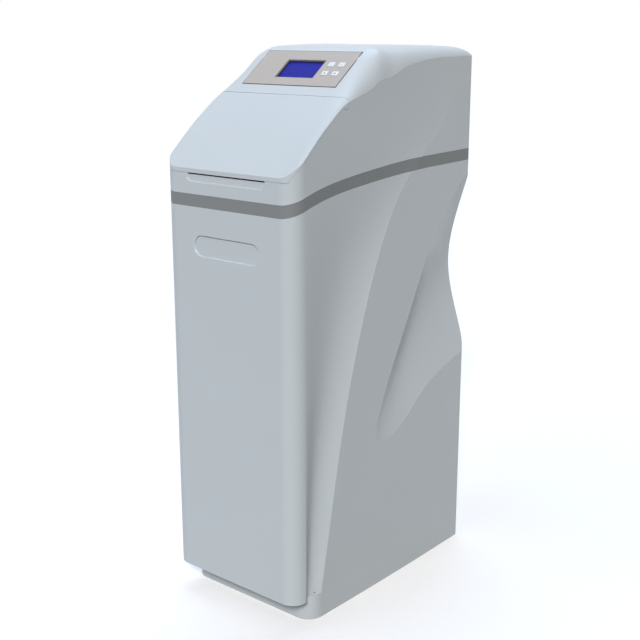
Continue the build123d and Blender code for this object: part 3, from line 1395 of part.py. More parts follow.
def make_salt_grid():
    """Perforated shelf that keeps the salt above the brine, on four legs."""
    low, high = GRID_Z, GRID_Z + GRID_T
    fitted = upper_form(SHELL_WALL + GRID_CLEARANCE)
    plate = block((-HALF_W, HALF_W), (FRONT_Y, GRID_BACK_Y), (low, high)) & fitted
    cuts = [
        cyl_z(TANK_R + GRID_TANK_GAP, 0, high + 1, y=TANK_Y),
        cyl_z(WELL_R + GRID_FIT, 0, high + 1, WELL_X, WELL_Y),
    ]
    for x, y in grid_hole_places():
        cuts.append(cyl_z(GRID_HOLE_R, low - 1, high + 1, x, y))
    plate = plate - cuts
    for x, y in GRID_LEGS:
        plate = plate + cyl_z(GRID_LEG_R, SHELL_WALL, low + 1, x, y)
    return plate


def make_overflow_elbow():
    """Overflow elbow in the rear wall, with a hose barb that points down."""
    centre = Pos(OVERFLOW_X, OVERFLOW_ELBOW_Y, OVERFLOW_Z)
    rim_r, rim_t = OVERFLOW_RIM
    inner_end = BACK_Y - SHELL_WALL - OVERFLOW_NUT[1] - 1
    body = cyl_y(OVERFLOW_R, inner_end, OVERFLOW_ELBOW_Y, OVERFLOW_X, OVERFLOW_Z)
    body = body + cyl_y(rim_r, BACK_Y, BACK_Y + rim_t, OVERFLOW_X, OVERFLOW_Z)
    body = body + centre * Sphere(OVERFLOW_R)
    body = body + centre * (Rot(180, 0, 0) * barb_rings(OVERFLOW_BARB_LENGTH))
    body = body - cyl_y(BARB_BORE_R, inner_end - 1, OVERFLOW_ELBOW_Y, OVERFLOW_X, OVERFLOW_Z)
    low = OVERFLOW_Z - OVERFLOW_BARB_LENGTH - 1
    return body - cyl_z(BARB_BORE_R, low, OVERFLOW_Z, OVERFLOW_X, OVERFLOW_ELBOW_Y)


def make_overflow_nut():
    """Nut that clamps the overflow elbow to the wall."""
    radius, thick = OVERFLOW_NUT
    low = BACK_Y - SHELL_WALL - thick
    nut = Pos(OVERFLOW_X, low, OVERFLOW_Z) * (Rot(-90, 0, 0) * extrude(RegularPolygon(radius, 6), thick))
    return nut - cyl_y(OVERFLOW_R, low - 1, low + thick + 1, OVERFLOW_X, OVERFLOW_Z)


def build():
    """Every node of the assembly, by name."""
    outer = column(0)
    inner = column(SHELL_WALL)
    tunnel = hood_form(0)
    nodes = {
        "cabinet_shell": make_cabinet_shell(outer, inner),
        "trim_band": make_trim_band(outer, inner),
        "hood_shell": make_hood_shell(outer, tunnel),
        "salt_lid": make_salt_lid(outer, tunnel),
        "lid_hinge_pins": make_lid_hinge_pins(),
        "panel_plate": make_panel_plate(),
        "lcd_bezel": make_lcd_bezel(),
        "lcd_screen": make_lcd_screen(),
        "display_board": make_display_board(),
        "resin_tank": make_resin_tank(),
        "tank_boot": make_tank_boot(),
        "resin_bed": make_resin_bed(),
        "riser_tube": make_riser_tube(),
        "bottom_basket": make_bottom_basket(),
        "top_basket": make_top_basket(),
        "valve_body": make_valve_body(),
        "tank_seal": make_tank_seal(),
        "fixed_disc": make_fixed_disc(),
        "moving_disc": make_moving_disc(),
        "drive_shaft": make_drive_shaft(),
        "valve_bonnet": make_valve_bonnet(),
        "bonnet_screws": make_bonnet_screws(),
        "drive_gear": make_drive_gear(),
        "motor_pinion": make_motor_pinion(),
        "gear_plate": make_gear_plate(),
        "gear_motor": make_gear_motor(),
        "gearbox_cover": make_gearbox_cover(),
        "power_inlet": make_power_inlet(),
        "injector_cap": make_injector_cap(),
        "injector_nozzle": make_injector_nozzle(),
        "drain_elbow": make_drain_elbow(),
        "brine_fitting": make_brine_fitting(),
        "meter_spider": make_meter_spider(),
        "meter_turbine": make_meter_turbine(),
        "meter_sensor": make_meter_sensor(),
        "union_nuts": make_union_nuts(),
        "port_seals": make_port_seals(),
        "bypass_body": make_bypass_body(),
        "inlet_rotor": make_rotor(-PORT_X),
        "outlet_rotor": make_rotor(PORT_X),
        "rotor_caps": make_rotor_caps(),
        "inlet_lever": make_lever(-PORT_X),
        "outlet_lever": make_lever(PORT_X),
        "inlet_nipple": make_nipple(-PORT_X),
        "outlet_nipple": make_nipple(PORT_X),
        "brine_well": make_brine_well(),
        "brine_well_cap": make_brine_well_cap(),
        "safety_valve_body": make_safety_valve_body(),
        "pickup_tube": make_pickup_tube(),
        "air_check": make_air_check(),
        "float_rod": make_float_rod(),
        "brine_float": make_brine_float(),
        "brine_line": make_brine_line(),
        "salt_grid": make_salt_grid(),
        "overflow_elbow": make_overflow_elbow(),
        "overflow_nut": make_overflow_nut(),
    }
    names = ("button_down", "button_up", "button_menu", "button_set")
    for name, (u, v) in zip(names, button_places()):
        nodes[name] = make_button(u, v)
    return nodes


os.makedirs("parts", exist_ok=True)
for name, shape in build().items():
    shape.label = name
    export_step(shape, f"parts/{name}.step")
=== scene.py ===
"""Looks, light and camera for the cabinet water softener.

Metres, +Z up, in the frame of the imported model. The front looks towards -Y.
"""

import json
import logging
import math
from dataclasses import dataclass, field, replace
from enum import Enum

import bmesh
import bpy
from mathutils import Matrix, Vector

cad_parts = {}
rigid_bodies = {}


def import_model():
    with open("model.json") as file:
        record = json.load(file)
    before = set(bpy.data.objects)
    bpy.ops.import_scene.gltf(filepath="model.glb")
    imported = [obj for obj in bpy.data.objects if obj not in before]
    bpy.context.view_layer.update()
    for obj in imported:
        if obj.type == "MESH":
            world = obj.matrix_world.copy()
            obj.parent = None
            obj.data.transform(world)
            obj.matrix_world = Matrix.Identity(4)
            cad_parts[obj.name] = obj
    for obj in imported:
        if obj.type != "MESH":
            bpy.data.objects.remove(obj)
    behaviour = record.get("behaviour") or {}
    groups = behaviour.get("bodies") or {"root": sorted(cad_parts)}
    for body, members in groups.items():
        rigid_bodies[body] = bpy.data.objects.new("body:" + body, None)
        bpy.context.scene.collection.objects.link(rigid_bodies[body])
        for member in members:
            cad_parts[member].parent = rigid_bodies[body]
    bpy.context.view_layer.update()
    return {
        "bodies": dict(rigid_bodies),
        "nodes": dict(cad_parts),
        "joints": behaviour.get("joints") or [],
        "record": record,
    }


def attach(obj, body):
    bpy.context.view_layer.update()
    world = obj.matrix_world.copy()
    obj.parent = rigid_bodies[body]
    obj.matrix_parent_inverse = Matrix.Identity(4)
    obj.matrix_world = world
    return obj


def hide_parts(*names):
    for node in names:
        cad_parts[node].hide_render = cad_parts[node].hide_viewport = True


MM = 0.001
WHITE = (1.0, 1.0, 1.0, 1.0)

# Features per metre and octaves of the noise under colour and gloss.
MOTTLE = (9.0, 3.0)
SMEAR = (31.0, 4.0)
RELIEF_OCTAVES = 2.0
RAMP_ENDS = (0.3, 0.7)
LEAST_ROUGHNESS = 0.02

# Steps round a full turn, across a corner and across an edge.
ROUND_STEPS = 48
RING_STEPS = 32
CORNER_STEPS = 4
EDGE_STEPS = 3
LIP_STEPS = 2
HEXAGON_SIDES = 6

logging.basicConfig(level=logging.INFO, format="%(name)s: %(message)s")
log = logging.getLogger("softener")


class Grain(Enum):
    """Kind of surface relief that a finish carries."""

    NONE = "none"
    SATIN = "satin"
    MOULDED = "moulded"
    CAST = "cast"
    BRUSHED = "brushed"
    WOUND = "wound"
    BEADS = "beads"


# Features per metre, stretch along each axis and depth of each relief.
RELIEFS = {
    Grain.SATIN: (900.0, (1, 1, 1), 0.06 * MM),
    Grain.MOULDED: (420.0, (1, 1, 1), 0.15 * MM),
    Grain.CAST: (260.0, (1, 1, 1), 0.4 * MM),
    Grain.BRUSHED: (300.0, (12, 1, 1), 0.1 * MM),
    Grain.WOUND: (70.0, (1, 1, 14), 0.8 * MM),
    Grain.BEADS: (900.0, (1, 1, 1), 0.6 * MM),
}


class Slot(Enum):
    """Material slots of the record."""

    SHELL = "shell"
    BAND = "band"
    PLATE = "plate"
    BEZEL = "bezel"
    SCREEN = "screen"
    BUTTON = "button"
    BOARD = "board"
    TANK = "tank"
    BOOT = "boot"
    RESIN = "resin"
    WHITE = "white"
    NORYL = "noryl"
    GEAR = "gear"
    CERAMIC = "ceramic"
    STEEL = "steel"
    BRASS = "brass"
    SEAL = "seal"
    TUBE = "tube"
    LEVER = "lever"


@dataclass(frozen=True)
class Finish:
    """A procedural surface: colour, gloss and relief.

    Args:
        slot: The record's slot that the finish belongs to.
        color: Base colour, linear.
        roughness: Mean roughness.
        metallic: 1 for bare metal.
        gloss: Specular level, where 0.5 is plain plastic.
        grain: Kind of relief.
        relief: Strength of the relief.
        mottle: How much the colour varies, as a fraction.
        spread: How much the roughness varies.
    """

    slot: Slot
    color: tuple[float, float, float]
    roughness: float = 0.4
    metallic: float = 0.0
    gloss: float = 0.5
    grain: Grain = Grain.MOULDED
    relief: float = 0.05
    mottle: float = 0.03
    spread: float = 0.04

    def material(self) -> bpy.types.Material:
        """Builds the node material.

        Returns:
            The material, named after its slot.
        """
        mat = bpy.data.materials.new(f"mat_{self.slot.value}")
        mat.use_nodes = True
        tree = mat.node_tree
        tree.nodes.clear()
        shader = tree.nodes.new("ShaderNodeBsdfPrincipled")
        out = tree.nodes.new("ShaderNodeOutputMaterial")
        tree.links.new(shader.outputs["BSDF"], out.inputs["Surface"])
        shader.inputs["Metallic"].default_value = self.metallic
        shader.inputs["Specular IOR Level"].default_value = self.gloss
        coords = tree.nodes.new("ShaderNodeTexCoord")
        self._colour(tree, coords, shader)
        self._gloss(tree, coords, shader)
        if self.grain is not Grain.NONE:
            self._bump(tree, coords, shader)
        return mat

    def _noise(
        self,
        tree: bpy.types.NodeTree,
        coords: bpy.types.Node,
        scale: float,
        detail: float,
        stretch: tuple[float, float, float] = (1.0, 1.0, 1.0),
    ) -> bpy.types.Node:
        """Noise in object coordinates.

        Args:
            tree: The node tree.
            coords: The texture coordinate node.
            scale: Features per metre.
            detail: Octaves.
            stretch: Scale along each axis.

        Returns:
            The noise node.
        """
        mapping = tree.nodes.new("ShaderNodeMapping")
        mapping.inputs["Scale"].default_value = stretch
        noise = tree.nodes.new("ShaderNodeTexNoise")
        noise.inputs["Scale"].default_value = scale
        noise.inputs["Detail"].default_value = detail
        tree.links.new(coords.outputs["Object"], mapping.inputs["Vector"])
        tree.links.new(mapping.outputs["Vector"], noise.inputs["Vector"])
        return noise

    def _ramp(
        self,
        tree: bpy.types.NodeTree,
        source: bpy.types.NodeSocket,
        low: tuple[float, float, float],
        high: tuple[float, float, float],
    ) -> bpy.types.NodeSocket:
        """Maps a noise's middle range to two values or colours.

        Args:
            tree: The node tree.
            source: The socket to map.
            low: Colour at the low end.
            high: Colour at the high end.

        Returns:
            The colour socket of the ramp.
        """
        ramp = tree.nodes.new("ShaderNodeValToRGB")
        for end, place, value in zip(ramp.color_ramp.elements, RAMP_ENDS, (low, high)):
            end.position = place
            end.color = (*value, 1.0)
        tree.links.new(source, ramp.inputs["Fac"])
        return ramp.outputs["Color"]

    def _colour(
        self, tree: bpy.types.NodeTree, coords: bpy.types.Node, shader: bpy.types.Node
    ) -> None:
        """Slight, slow colour variation.

        Args:
            tree: The node tree.
            coords: The texture coordinate node.
            shader: The principled shader.
        """
        noise = self._noise(tree, coords, *MOTTLE)
        low = tuple(c * (1 - self.mottle) for c in self.color)
        high = tuple(min(1.0, c * (1 + self.mottle)) for c in self.color)
        color = self._ramp(tree, noise.outputs["Fac"], low, high)
        tree.links.new(color, shader.inputs["Base Color"])

    def _gloss(
        self, tree: bpy.types.NodeTree, coords: bpy.types.Node, shader: bpy.types.Node
    ) -> None:
        """Roughness that varies as on a handled surface.

        Args:
            tree: The node tree.
            coords: The texture coordinate node.
            shader: The principled shader.
        """
        noise = self._noise(tree, coords, *SMEAR)
        low = (max(LEAST_ROUGHNESS, self.roughness - self.spread),) * 3
        high = (min(1.0, self.roughness + self.spread),) * 3
        rough = self._ramp(tree, noise.outputs["Fac"], low, high)
        tree.links.new(rough, shader.inputs["Roughness"])

    def _bump(
        self, tree: bpy.types.NodeTree, coords: bpy.types.Node, shader: bpy.types.Node
    ) -> None:
        """Fine relief by kind of grain.

        Args:
            tree: The node tree.
            coords: The texture coordinate node.
            shader: The principled shader.
        """
        scale, stretch, depth = RELIEFS[self.grain]
        noise = self._noise(tree, coords, scale, RELIEF_OCTAVES, stretch)
        bump = tree.nodes.new("ShaderNodeBump")
        bump.inputs["Strength"].default_value = self.relief
        bump.inputs["Distance"].default_value = depth
        tree.links.new(noise.outputs["Fac"], bump.inputs["Height"])
        tree.links.new(bump.outputs["Normal"], shader.inputs["Normal"])


FINISHES = (
    Finish(
        Slot.SHELL, (0.545, 0.590, 0.625), 0.32,
        gloss=0.3, grain=Grain.SATIN, relief=0.12, mottle=0.008,
    ),
    Finish(
        Slot.BAND, (0.230, 0.243, 0.252), 0.42,
        gloss=0.2, grain=Grain.SATIN, relief=0.15, mottle=0.02,
    ),
    Finish(
        Slot.PLATE, (0.435, 0.395, 0.368), 0.38,
        gloss=0.35, grain=Grain.SATIN, relief=0.1, mottle=0.02,
    ),
    Finish(Slot.BEZEL, (0.008, 0.008, 0.012), 0.35, grain=Grain.SATIN),
    Finish(
        Slot.SCREEN, (0.018, 0.021, 0.300), 0.45,
        gloss=0.06, grain=Grain.NONE, mottle=0.02, spread=0.02,
    ),
    Finish(Slot.BUTTON, (0.72, 0.74, 0.78), 0.4, grain=Grain.SATIN),
    Finish(Slot.BOARD, (0.02, 0.16, 0.07), 0.4, grain=Grain.CAST),
    Finish(Slot.TANK, (0.62, 0.52, 0.27), 0.45, grain=Grain.WOUND, relief=0.5, mottle=0.15),
    Finish(Slot.BOOT, (0.02, 0.02, 0.02), 0.6, grain=Grain.CAST),
    Finish(Slot.RESIN, (0.32, 0.12, 0.02), 0.6, grain=Grain.BEADS, relief=0.8, mottle=0.2),
    Finish(Slot.WHITE, (0.78, 0.78, 0.75), 0.42),
    Finish(Slot.NORYL, (0.022, 0.022, 0.025), 0.5, grain=Grain.CAST, relief=0.2),
    Finish(Slot.GEAR, (0.72, 0.69, 0.58), 0.45),
    Finish(Slot.CERAMIC, (0.80, 0.78, 0.74), 0.15, grain=Grain.SATIN),
    Finish(Slot.STEEL, (0.52, 0.52, 0.53), 0.32, 1.0, grain=Grain.BRUSHED),
    Finish(Slot.BRASS, (0.72, 0.50, 0.20), 0.28, 1.0, grain=Grain.BRUSHED),
    Finish(Slot.SEAL, (0.015, 0.015, 0.015), 0.65, grain=Grain.CAST),
    Finish(Slot.TUBE, (0.80, 0.80, 0.78), 0.3),
    Finish(Slot.LEVER, (0.02, 0.07, 0.35), 0.35),
)


@dataclass
class Palette:
    """All finishes as materials, made once."""

    materials: dict[Slot, bpy.types.Material] = field(default_factory=dict)

    def mix(self) -> None:
        """Builds every material."""
        for finish in FINISHES:
            self.materials[finish.slot] = finish.material()

    def paint(self, obj: bpy.types.Object, slot: Slot) -> None:
        """Gives an object one material.

        Args:
            obj: The object.
            slot: The finish to use.
        """
        obj.data.materials.clear()
        obj.data.materials.append(self.materials[slot])


@dataclass
class Dresser:
    """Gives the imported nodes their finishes.

    Args:
        palette: The materials.
    """

    palette: Palette

    def dress(self, frame: dict) -> None:
        """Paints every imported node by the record's slots.

        Args:
            frame: What the loader returned.
        """
        slots = {s["node"]: Slot(s["material_slot"]) for s in frame["record"]["subparts"]}
        for name, obj in frame["nodes"].items():
            self.palette.paint(obj, slots[name])
        log.info("dressed %d packed nodes", len(slots))


@dataclass
class Workshop:
    """Turns finished meshes into pieces of the object.

    Args:
        palette: The materials.
        crease: Angle below which faces shade smoothly, in degrees.
        weld: Distance within which vertices become one.
    """

    palette: Palette
    crease: float = 38.0
    weld: float = 0.002 * MM

    def add(self, bm: bmesh.types.BMesh, name: str, slot: Slot, body: str) -> bpy.types.Object:
        """Closes a mesh off as a piece that rides on a body.

        Args:
            bm: The mesh, in metres and in place. It is freed.
            name: Name of the piece.
            slot: Its finish.
            body: The body it moves with.

        Returns:
            The piece.
        """
        bmesh.ops.remove_doubles(bm, verts=bm.verts, dist=self.weld)
        bmesh.ops.recalc_face_normals(bm, faces=bm.faces)
        sharp = math.radians(self.crease)
        for edge in bm.edges:
            edge.smooth = edge.is_manifold and edge.calc_face_angle(0.0) < sharp
        for face in bm.faces:
            face.smooth = True
        mesh = bpy.data.meshes.new(name)
        bm.to_mesh(mesh)
        bm.free()
        piece = bpy.data.objects.new(name, mesh)
        bpy.context.scene.collection.objects.link(piece)
        self.palette.paint(piece, slot)
        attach(piece, body)
        log.info("%s: %d faces", name, len(mesh.polygons))
        return piece


def soften(bm: bmesh.types.BMesh, edges: list, width: float, segments: int) -> None:
    """Rounds some edges of a mesh.

    Args:
        bm: The mesh.
        edges: The edges to round.
        width: Radius, in metres.
        segments: Steps across the rounding.
    """
    bmesh.ops.bevel(
        bm,
        geom=edges,
        offset=width,
        offset_type="OFFSET",
        affect="EDGES",
        segments=segments,
        profile=0.5,
        material=-1,
    )


def slab(
    bm: bmesh.types.BMesh,
    size: tuple[float, float, float],
    middle: tuple[float, float, float],
    corner: float = 0.0,
    edge: float = 0.0,
) -> None:
    """Adds a block with rounded upright corners and a softened top edge.

    Args:
        bm: The mesh to add to.
        size: Width, height and thickness.
        middle: Its centre.
        corner: Radius of the four upright corners.
        edge: Radius of the edge round the top.
    """
    part = bmesh.new()
    bmesh.ops.create_cube(part, size=1.0)
    bmesh.ops.scale(part, vec=size, verts=part.verts)
    if corner:
        upright = [e for e in part.edges if abs(e.verts[0].co.z - e.verts[1].co.z) > size[2] / 2]
        soften(part, upright, corner, CORNER_STEPS)
    if edge:
        top = [e for e in part.edges if all(v.co.z > 0 for v in e.verts)]
        soften(part, top, edge, EDGE_STEPS)
    bmesh.ops.translate(part, vec=middle, verts=part.verts)
    merge(bm, part)


def merge(bm: bmesh.types.BMesh, part: bmesh.types.BMesh) -> None:
    """Adds one mesh to another and frees it.

    Args:
        bm: The mesh that grows.
        part: The mesh that is added.
    """
    carrier = bpy.data.meshes.new("carrier")
    part.to_mesh(carrier)
    part.free()
    bm.from_mesh(carrier)
    bpy.data.meshes.remove(carrier)


@dataclass(frozen=True)
class PanelField:
    """The sloping field that carries the control panel.

    Args:
        y: Middle of the field.
        z: Height of its middle.
        angle: Slope, in degrees.
    """

    y: float = -68.85 * MM
    z: float = 1013.2 * MM
    angle: float = 37.3

    def matrix(self) -> Matrix:
        """Works out where a piece drawn flat belongs.

        Returns:
            The move from the floor's plane into the field's.
        """
        turn = Matrix.Rotation(math.radians(self.angle), 4, "X")
        return Matrix.Translation((0.0, self.y, self.z)) @ turn

    def settle(self, bm: bmesh.types.BMesh) -> None:
        """Lays a flat mesh on the field.

        Args:
            bm: The mesh, drawn flat about the origin.
        """
        bmesh.ops.transform(bm, matrix=self.matrix(), verts=bm.verts)


class Mark(Enum):
    """What a key shows."""

    DOWN = "down"
    UP = "up"
    BARS = "bars"
    RING = "ring"


@dataclass(frozen=True)
class Key:
    """One push button: its cap, flange, plunger and mark.

    Args:
        body: The body it is, and its node's name.
        u: Place across the panel.
        v: Place up the panel.
        mark: What it shows.
    """

    body: str
    u: float
    v: float
    mark: Mark


@dataclass
class ControlPanel:
    """Keys with marks, the dark seam with painted shadow round the face plate and the display's
    lip.

    Args:
        shop: Where pieces are finished.
        site: The panel's place.
        key_size: Width and height of a key.
        key_top: How far a key stands out of the hood.
        key_low: Where its cap meets the flange.
        flange: How far the flange stands out past the cap.
        flange_t: Its thickness.
        flange_round: Radius of its corners.
        foot: Width of the plunger.
        foot_round: Radius of its corners.
        foot_low: Its lower end.
        plate: Width and height of the face plate.
        plate_top: How far the plate stands out.
        window: Width, height and middle of the display's opening.
        key_rounding: Radius of a cap's corners and of its top edge.
        mark_t: Thickness of a mark.
        bar: Width, height and step of the three bars.
        ring: Outer radius and width of the ring.
        arrow: Radius of the triangles.
        seam: Width of the seam, how far it reaches past the plate and its thickness.
        seam_shift: How far the seam is shifted, so that its lower and right sides are wider; the
            wider sides are painted shadow of the proud plate.
        lip: Width of the display's lip, its thickness and the radius of its edges.
        sink: How deep a laid-on part stands in what carries it.
    """

    shop: Workshop
    site: PanelField = PanelField()
    key_size: tuple[float, float] = (14.0 * MM, 11.5 * MM)
    key_top: float = 1.5 * MM
    key_low: float = -3.5 * MM
    flange: float = 1.5 * MM
    flange_t: float = 1.2 * MM
    flange_round: float = 1.0 * MM
    foot: float = 4.0 * MM
    foot_round: float = 0.5 * MM
    foot_low: float = -7.9 * MM
    plate: tuple[float, float] = (225.0 * MM, 96.0 * MM)
    plate_top: float = 0.5 * MM
    window: tuple[float, float, float] = (90.0 * MM, 48.5 * MM, -2.2 * MM)
    key_rounding: tuple[float, float] = (1.2 * MM, 0.45 * MM)
    mark_t: float = 0.1 * MM
    bar: tuple[float, float, float] = (3.8 * MM, 0.45 * MM, 1.3 * MM)
    ring: tuple[float, float] = (1.9 * MM, 0.45 * MM)
    arrow: float = 2.3 * MM
    seam: tuple[float, float, float] = (1.8 * MM, 1.4 * MM, 0.25 * MM)
    # Shift that paints the proud plate's shadow as a wider seam along its lower and right sides.
    seam_shift: float = 0.35 * MM
    lip: tuple[float, float, float] = (0.8 * MM, 0.25 * MM, 0.1 * MM)
    sink: float = 0.02 * MM
    keys: tuple[Key, ...] = (
        Key("button_down", 65.5 * MM, -13.2 * MM, Mark.DOWN),
        Key("button_up", 89.5 * MM, -13.2 * MM, Mark.UP),
        Key("button_menu", 65.5 * MM, 11.4 * MM, Mark.BARS),
        Key("button_set", 89.5 * MM, 11.4 * MM, Mark.RING),
    )

    def build(self) -> None:
        """Makes every piece of the panel."""
        for key in self.keys:
            self._cap(key)
            self._mark(key)
        self._seam_and_shadow()
        self._lip()

    def _cap(self, key: Key) -> None:
        """Crowned cap with the flange and plunger behind it.

        Args:
            key: The key.
        """
        bm = bmesh.new()
        width, height = self.key_size
        thick = self.key_top - self.key_low
        slab(bm, (width, height, thick), (0, 0, self.key_top - thick / 2), *self.key_rounding)
        low = self.key_low - self.flange_t
        broad = (width + 2 * self.flange, height + 2 * self.flange, self.flange_t)
        slab(bm, broad, (0, 0, self.key_low - self.flange_t / 2), self.flange_round)
        stem = (self.foot, self.foot, low - self.foot_low)
        slab(bm, stem, (0, 0, (low + self.foot_low) / 2), self.foot_round)
        bmesh.ops.translate(bm, vec=(key.u, key.v, 0), verts=bm.verts)
        self.site.settle(bm)
        cap = self.shop.add(bm, f"{key.body}_cap", Slot.BUTTON, key.body)
        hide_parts(key.body)

    def _mark(self, key: Key) -> None:
        """Raised mark on a key.

        Args:
            key: The key.
        """
        bm = bmesh.new()
        if key.mark is Mark.BARS:
            width, height, pitch = self.bar
            for step in (-1, 0, 1):
                slab(bm, (width, height, self.mark_t), (0, step * pitch, 0))
        elif key.mark is Mark.RING:
            self._ring(bm)
        else:
            bmesh.ops.create_cone(
                bm,
                cap_ends=True,
                segments=3,
                radius1=self.arrow,
                radius2=self.arrow,
                depth=self.mark_t,
            )
            turn = Matrix.Rotation(0.0 if key.mark is Mark.UP else math.pi, 3, "Z")
            bmesh.ops.rotate(bm, cent=(0, 0, 0), matrix=turn, verts=bm.verts)
        rise = self.key_top + self.mark_t / 2 - self.sink
        bmesh.ops.translate(bm, vec=(key.u, key.v, rise), verts=bm.verts)
        self.site.settle(bm)
        faint = key.mark in (Mark.BARS, Mark.RING)
        self.shop.add(bm, f"{key.body}_mark", Slot.PLATE if faint else Slot.BEZEL, key.body)

    def _ring(self, bm: bmesh.types.BMesh) -> None:
        """Adds a flat ring at the origin.

        Args:
            bm: The mesh to add to.
        """
        radius, width = self.ring
        bmesh.ops.create_circle(bm, cap_ends=True, segments=RING_STEPS, radius=radius)
        self._hollow(bm, width, self.mark_t)

    def _hollow(self, bm: bmesh.types.BMesh, width: float, thick: float) -> None:
        """Leaves only the rim of a flat face and thickens it.

        Args:
            bm: The mesh with the face.
            width: Width of the rim.
            thick: How far it stands up.
        """
        rim = bmesh.ops.inset_region(bm, faces=bm.faces[:], thickness=width, use_boundary=True)
        hole = [f for f in bm.faces if f not in rim["faces"]]
        bmesh.ops.delete(bm, geom=hole, context="FACES")
        bmesh.ops.solidify(bm, geom=bm.faces[:], thickness=-thick)

    def _frame(
        self, bm: bmesh.types.BMesh, size: tuple[float, float], width: float, thick: float
    ) -> None:
        """Adds a flat rectangular frame at the origin.

        Args:
            bm: The mesh to add to.
            size: Outer width and height.
            width: Width of its bars.
            thick: How far it stands up.
        """
        bmesh.ops.create_grid(bm, x_segments=1, y_segments=1, size=0.5)
        bmesh.ops.scale(bm, vec=(size[0], size[1], 1.0), verts=bm.verts)
        self._hollow(bm, width, thick)

    def _seam_and_shadow(self) -> None:
        """Dark seam round the face plate, partly a joint and partly painted shadow: its lower and
        right edges are wider, where the proud plate's shadow is painted.
        """
        bm = bmesh.new()
        width, reach, thick = self.seam
        self._frame(bm, tuple(side + 2 * reach for side in self.plate), width, thick)
        # Shifted so that the lower and right sides are wider: painted shadow of the proud plate.
        shift = (self.seam_shift, -self.seam_shift, self.sink)
        bmesh.ops.translate(bm, vec=shift, verts=bm.verts)
        self.site.settle(bm)
        self.shop.add(bm, "panel_seam_and_shadow", Slot.SEAL, "hood")

    def _lip(self) -> None:
        """Fine dark lip round the display's opening."""
        bm = bmesh.new()
        width, height, middle = self.window
        bar, thick, edge = self.lip
        self._frame(bm, (width + 2 * bar, height + 2 * bar), bar, thick)
        top = [e for e in bm.edges if all(v.co.z > thick / 2 for v in e.verts)]
        soften(bm, top, edge, LIP_STEPS)
        bmesh.ops.translate(bm, vec=(0, middle, self.plate_top - self.sink), verts=bm.verts)
        self.site.settle(bm)
        self.shop.add(bm, "display_lip", Slot.BEZEL, "hood")


@dataclass(frozen=True)
class Package:
    """One part soldered under a board.

    Args:
        size: Width, height and thickness.
        place: Its middle on the board.
        corner: Radius of its corners.
    """

    size: tuple[float, float, float]
    place: tuple[float, float]
    corner: float

    def solder(self, bm: bmesh.types.BMesh, under: float) -> None:
        """Adds the part.

        Args:
            bm: The mesh to add to.
            under: Height of the board's lower face.
        """
        slab(bm, self.size, (*self.place, under - self.size[2] / 2), self.corner)


@dataclass
class BoardParts:
    """Electronic parts under the display board.

    Args:
        shop: Where pieces are finished.
        site: The panel's place.
        under: The board's lower face, below the field.
        packages: Black packages and the connector's housing.
        crystal: The crystal's can.
        small: One of the small parts in a row.
        small_row: How many there are and their step.
        lead: Width, length and thickness of a lead of the large package.
        lead_row: How many there are and their step.
        lead_drop: How far their middle is below the board.
    """

    shop: Workshop
    site: PanelField = PanelField()
    under: float = -10.6 * MM
    packages: tuple[Package, ...] = (
        Package((14 * MM, 14 * MM, 1.8 * MM), (-30 * MM, 6 * MM), 0.4 * MM),
        Package((8 * MM, 5 * MM, 1.6 * MM), (10 * MM, 16 * MM), 0.3 * MM),
        Package((24 * MM, 6 * MM, 6 * MM), (-70 * MM, -20 * MM), 0.5 * MM),
    )
    crystal: Package = Package((11 * MM, 4.5 * MM, 3.5 * MM), (-8 * MM, -12 * MM), 1.8 * MM)
    small: Package = Package((3 * MM, 1.6 * MM, 1.2 * MM), (30 * MM, -22 * MM), 0.2 * MM)
    small_row: tuple[int, float] = (6, 6 * MM)
    lead: tuple[float, float, float] = (0.5 * MM, 18 * MM, 0.4 * MM)
    lead_row: tuple[int, float] = (8, 1.6 * MM)
    lead_drop: float = 0.3 * MM

    def build(self) -> None:
        """Makes the chips, the connector and the small parts."""
        self._packages()
        self._leads()

    def _packages(self) -> None:
        """Black packages and the connector's housing."""
        bm = bmesh.new()
        for package in self.packages:
            package.solder(bm, self.under)
        count, pitch = self.small_row
        for step in range(count):
            place = (self.small.place[0] + step * pitch, self.small.place[1])
            replace(self.small, place=place).solder(bm, self.under)
        self.site.settle(bm)
        self.shop.add(bm, "board_packages", Slot.NORYL, "hood")

    def _leads(self) -> None:
        """Metal leads of the large package and the crystal's can."""
        bm = bmesh.new()
        x, y = self.packages[0].place
        count, pitch = self.lead_row
        for step in range(count):
            offset = (step - (count - 1) / 2) * pitch
            slab(bm, self.lead, (x + offset, y, self.under - self.lead_drop))
        self.crystal.solder(bm, self.under)
        self.site.settle(bm)
        self.shop.add(bm, "board_leads", Slot.STEEL, "hood")


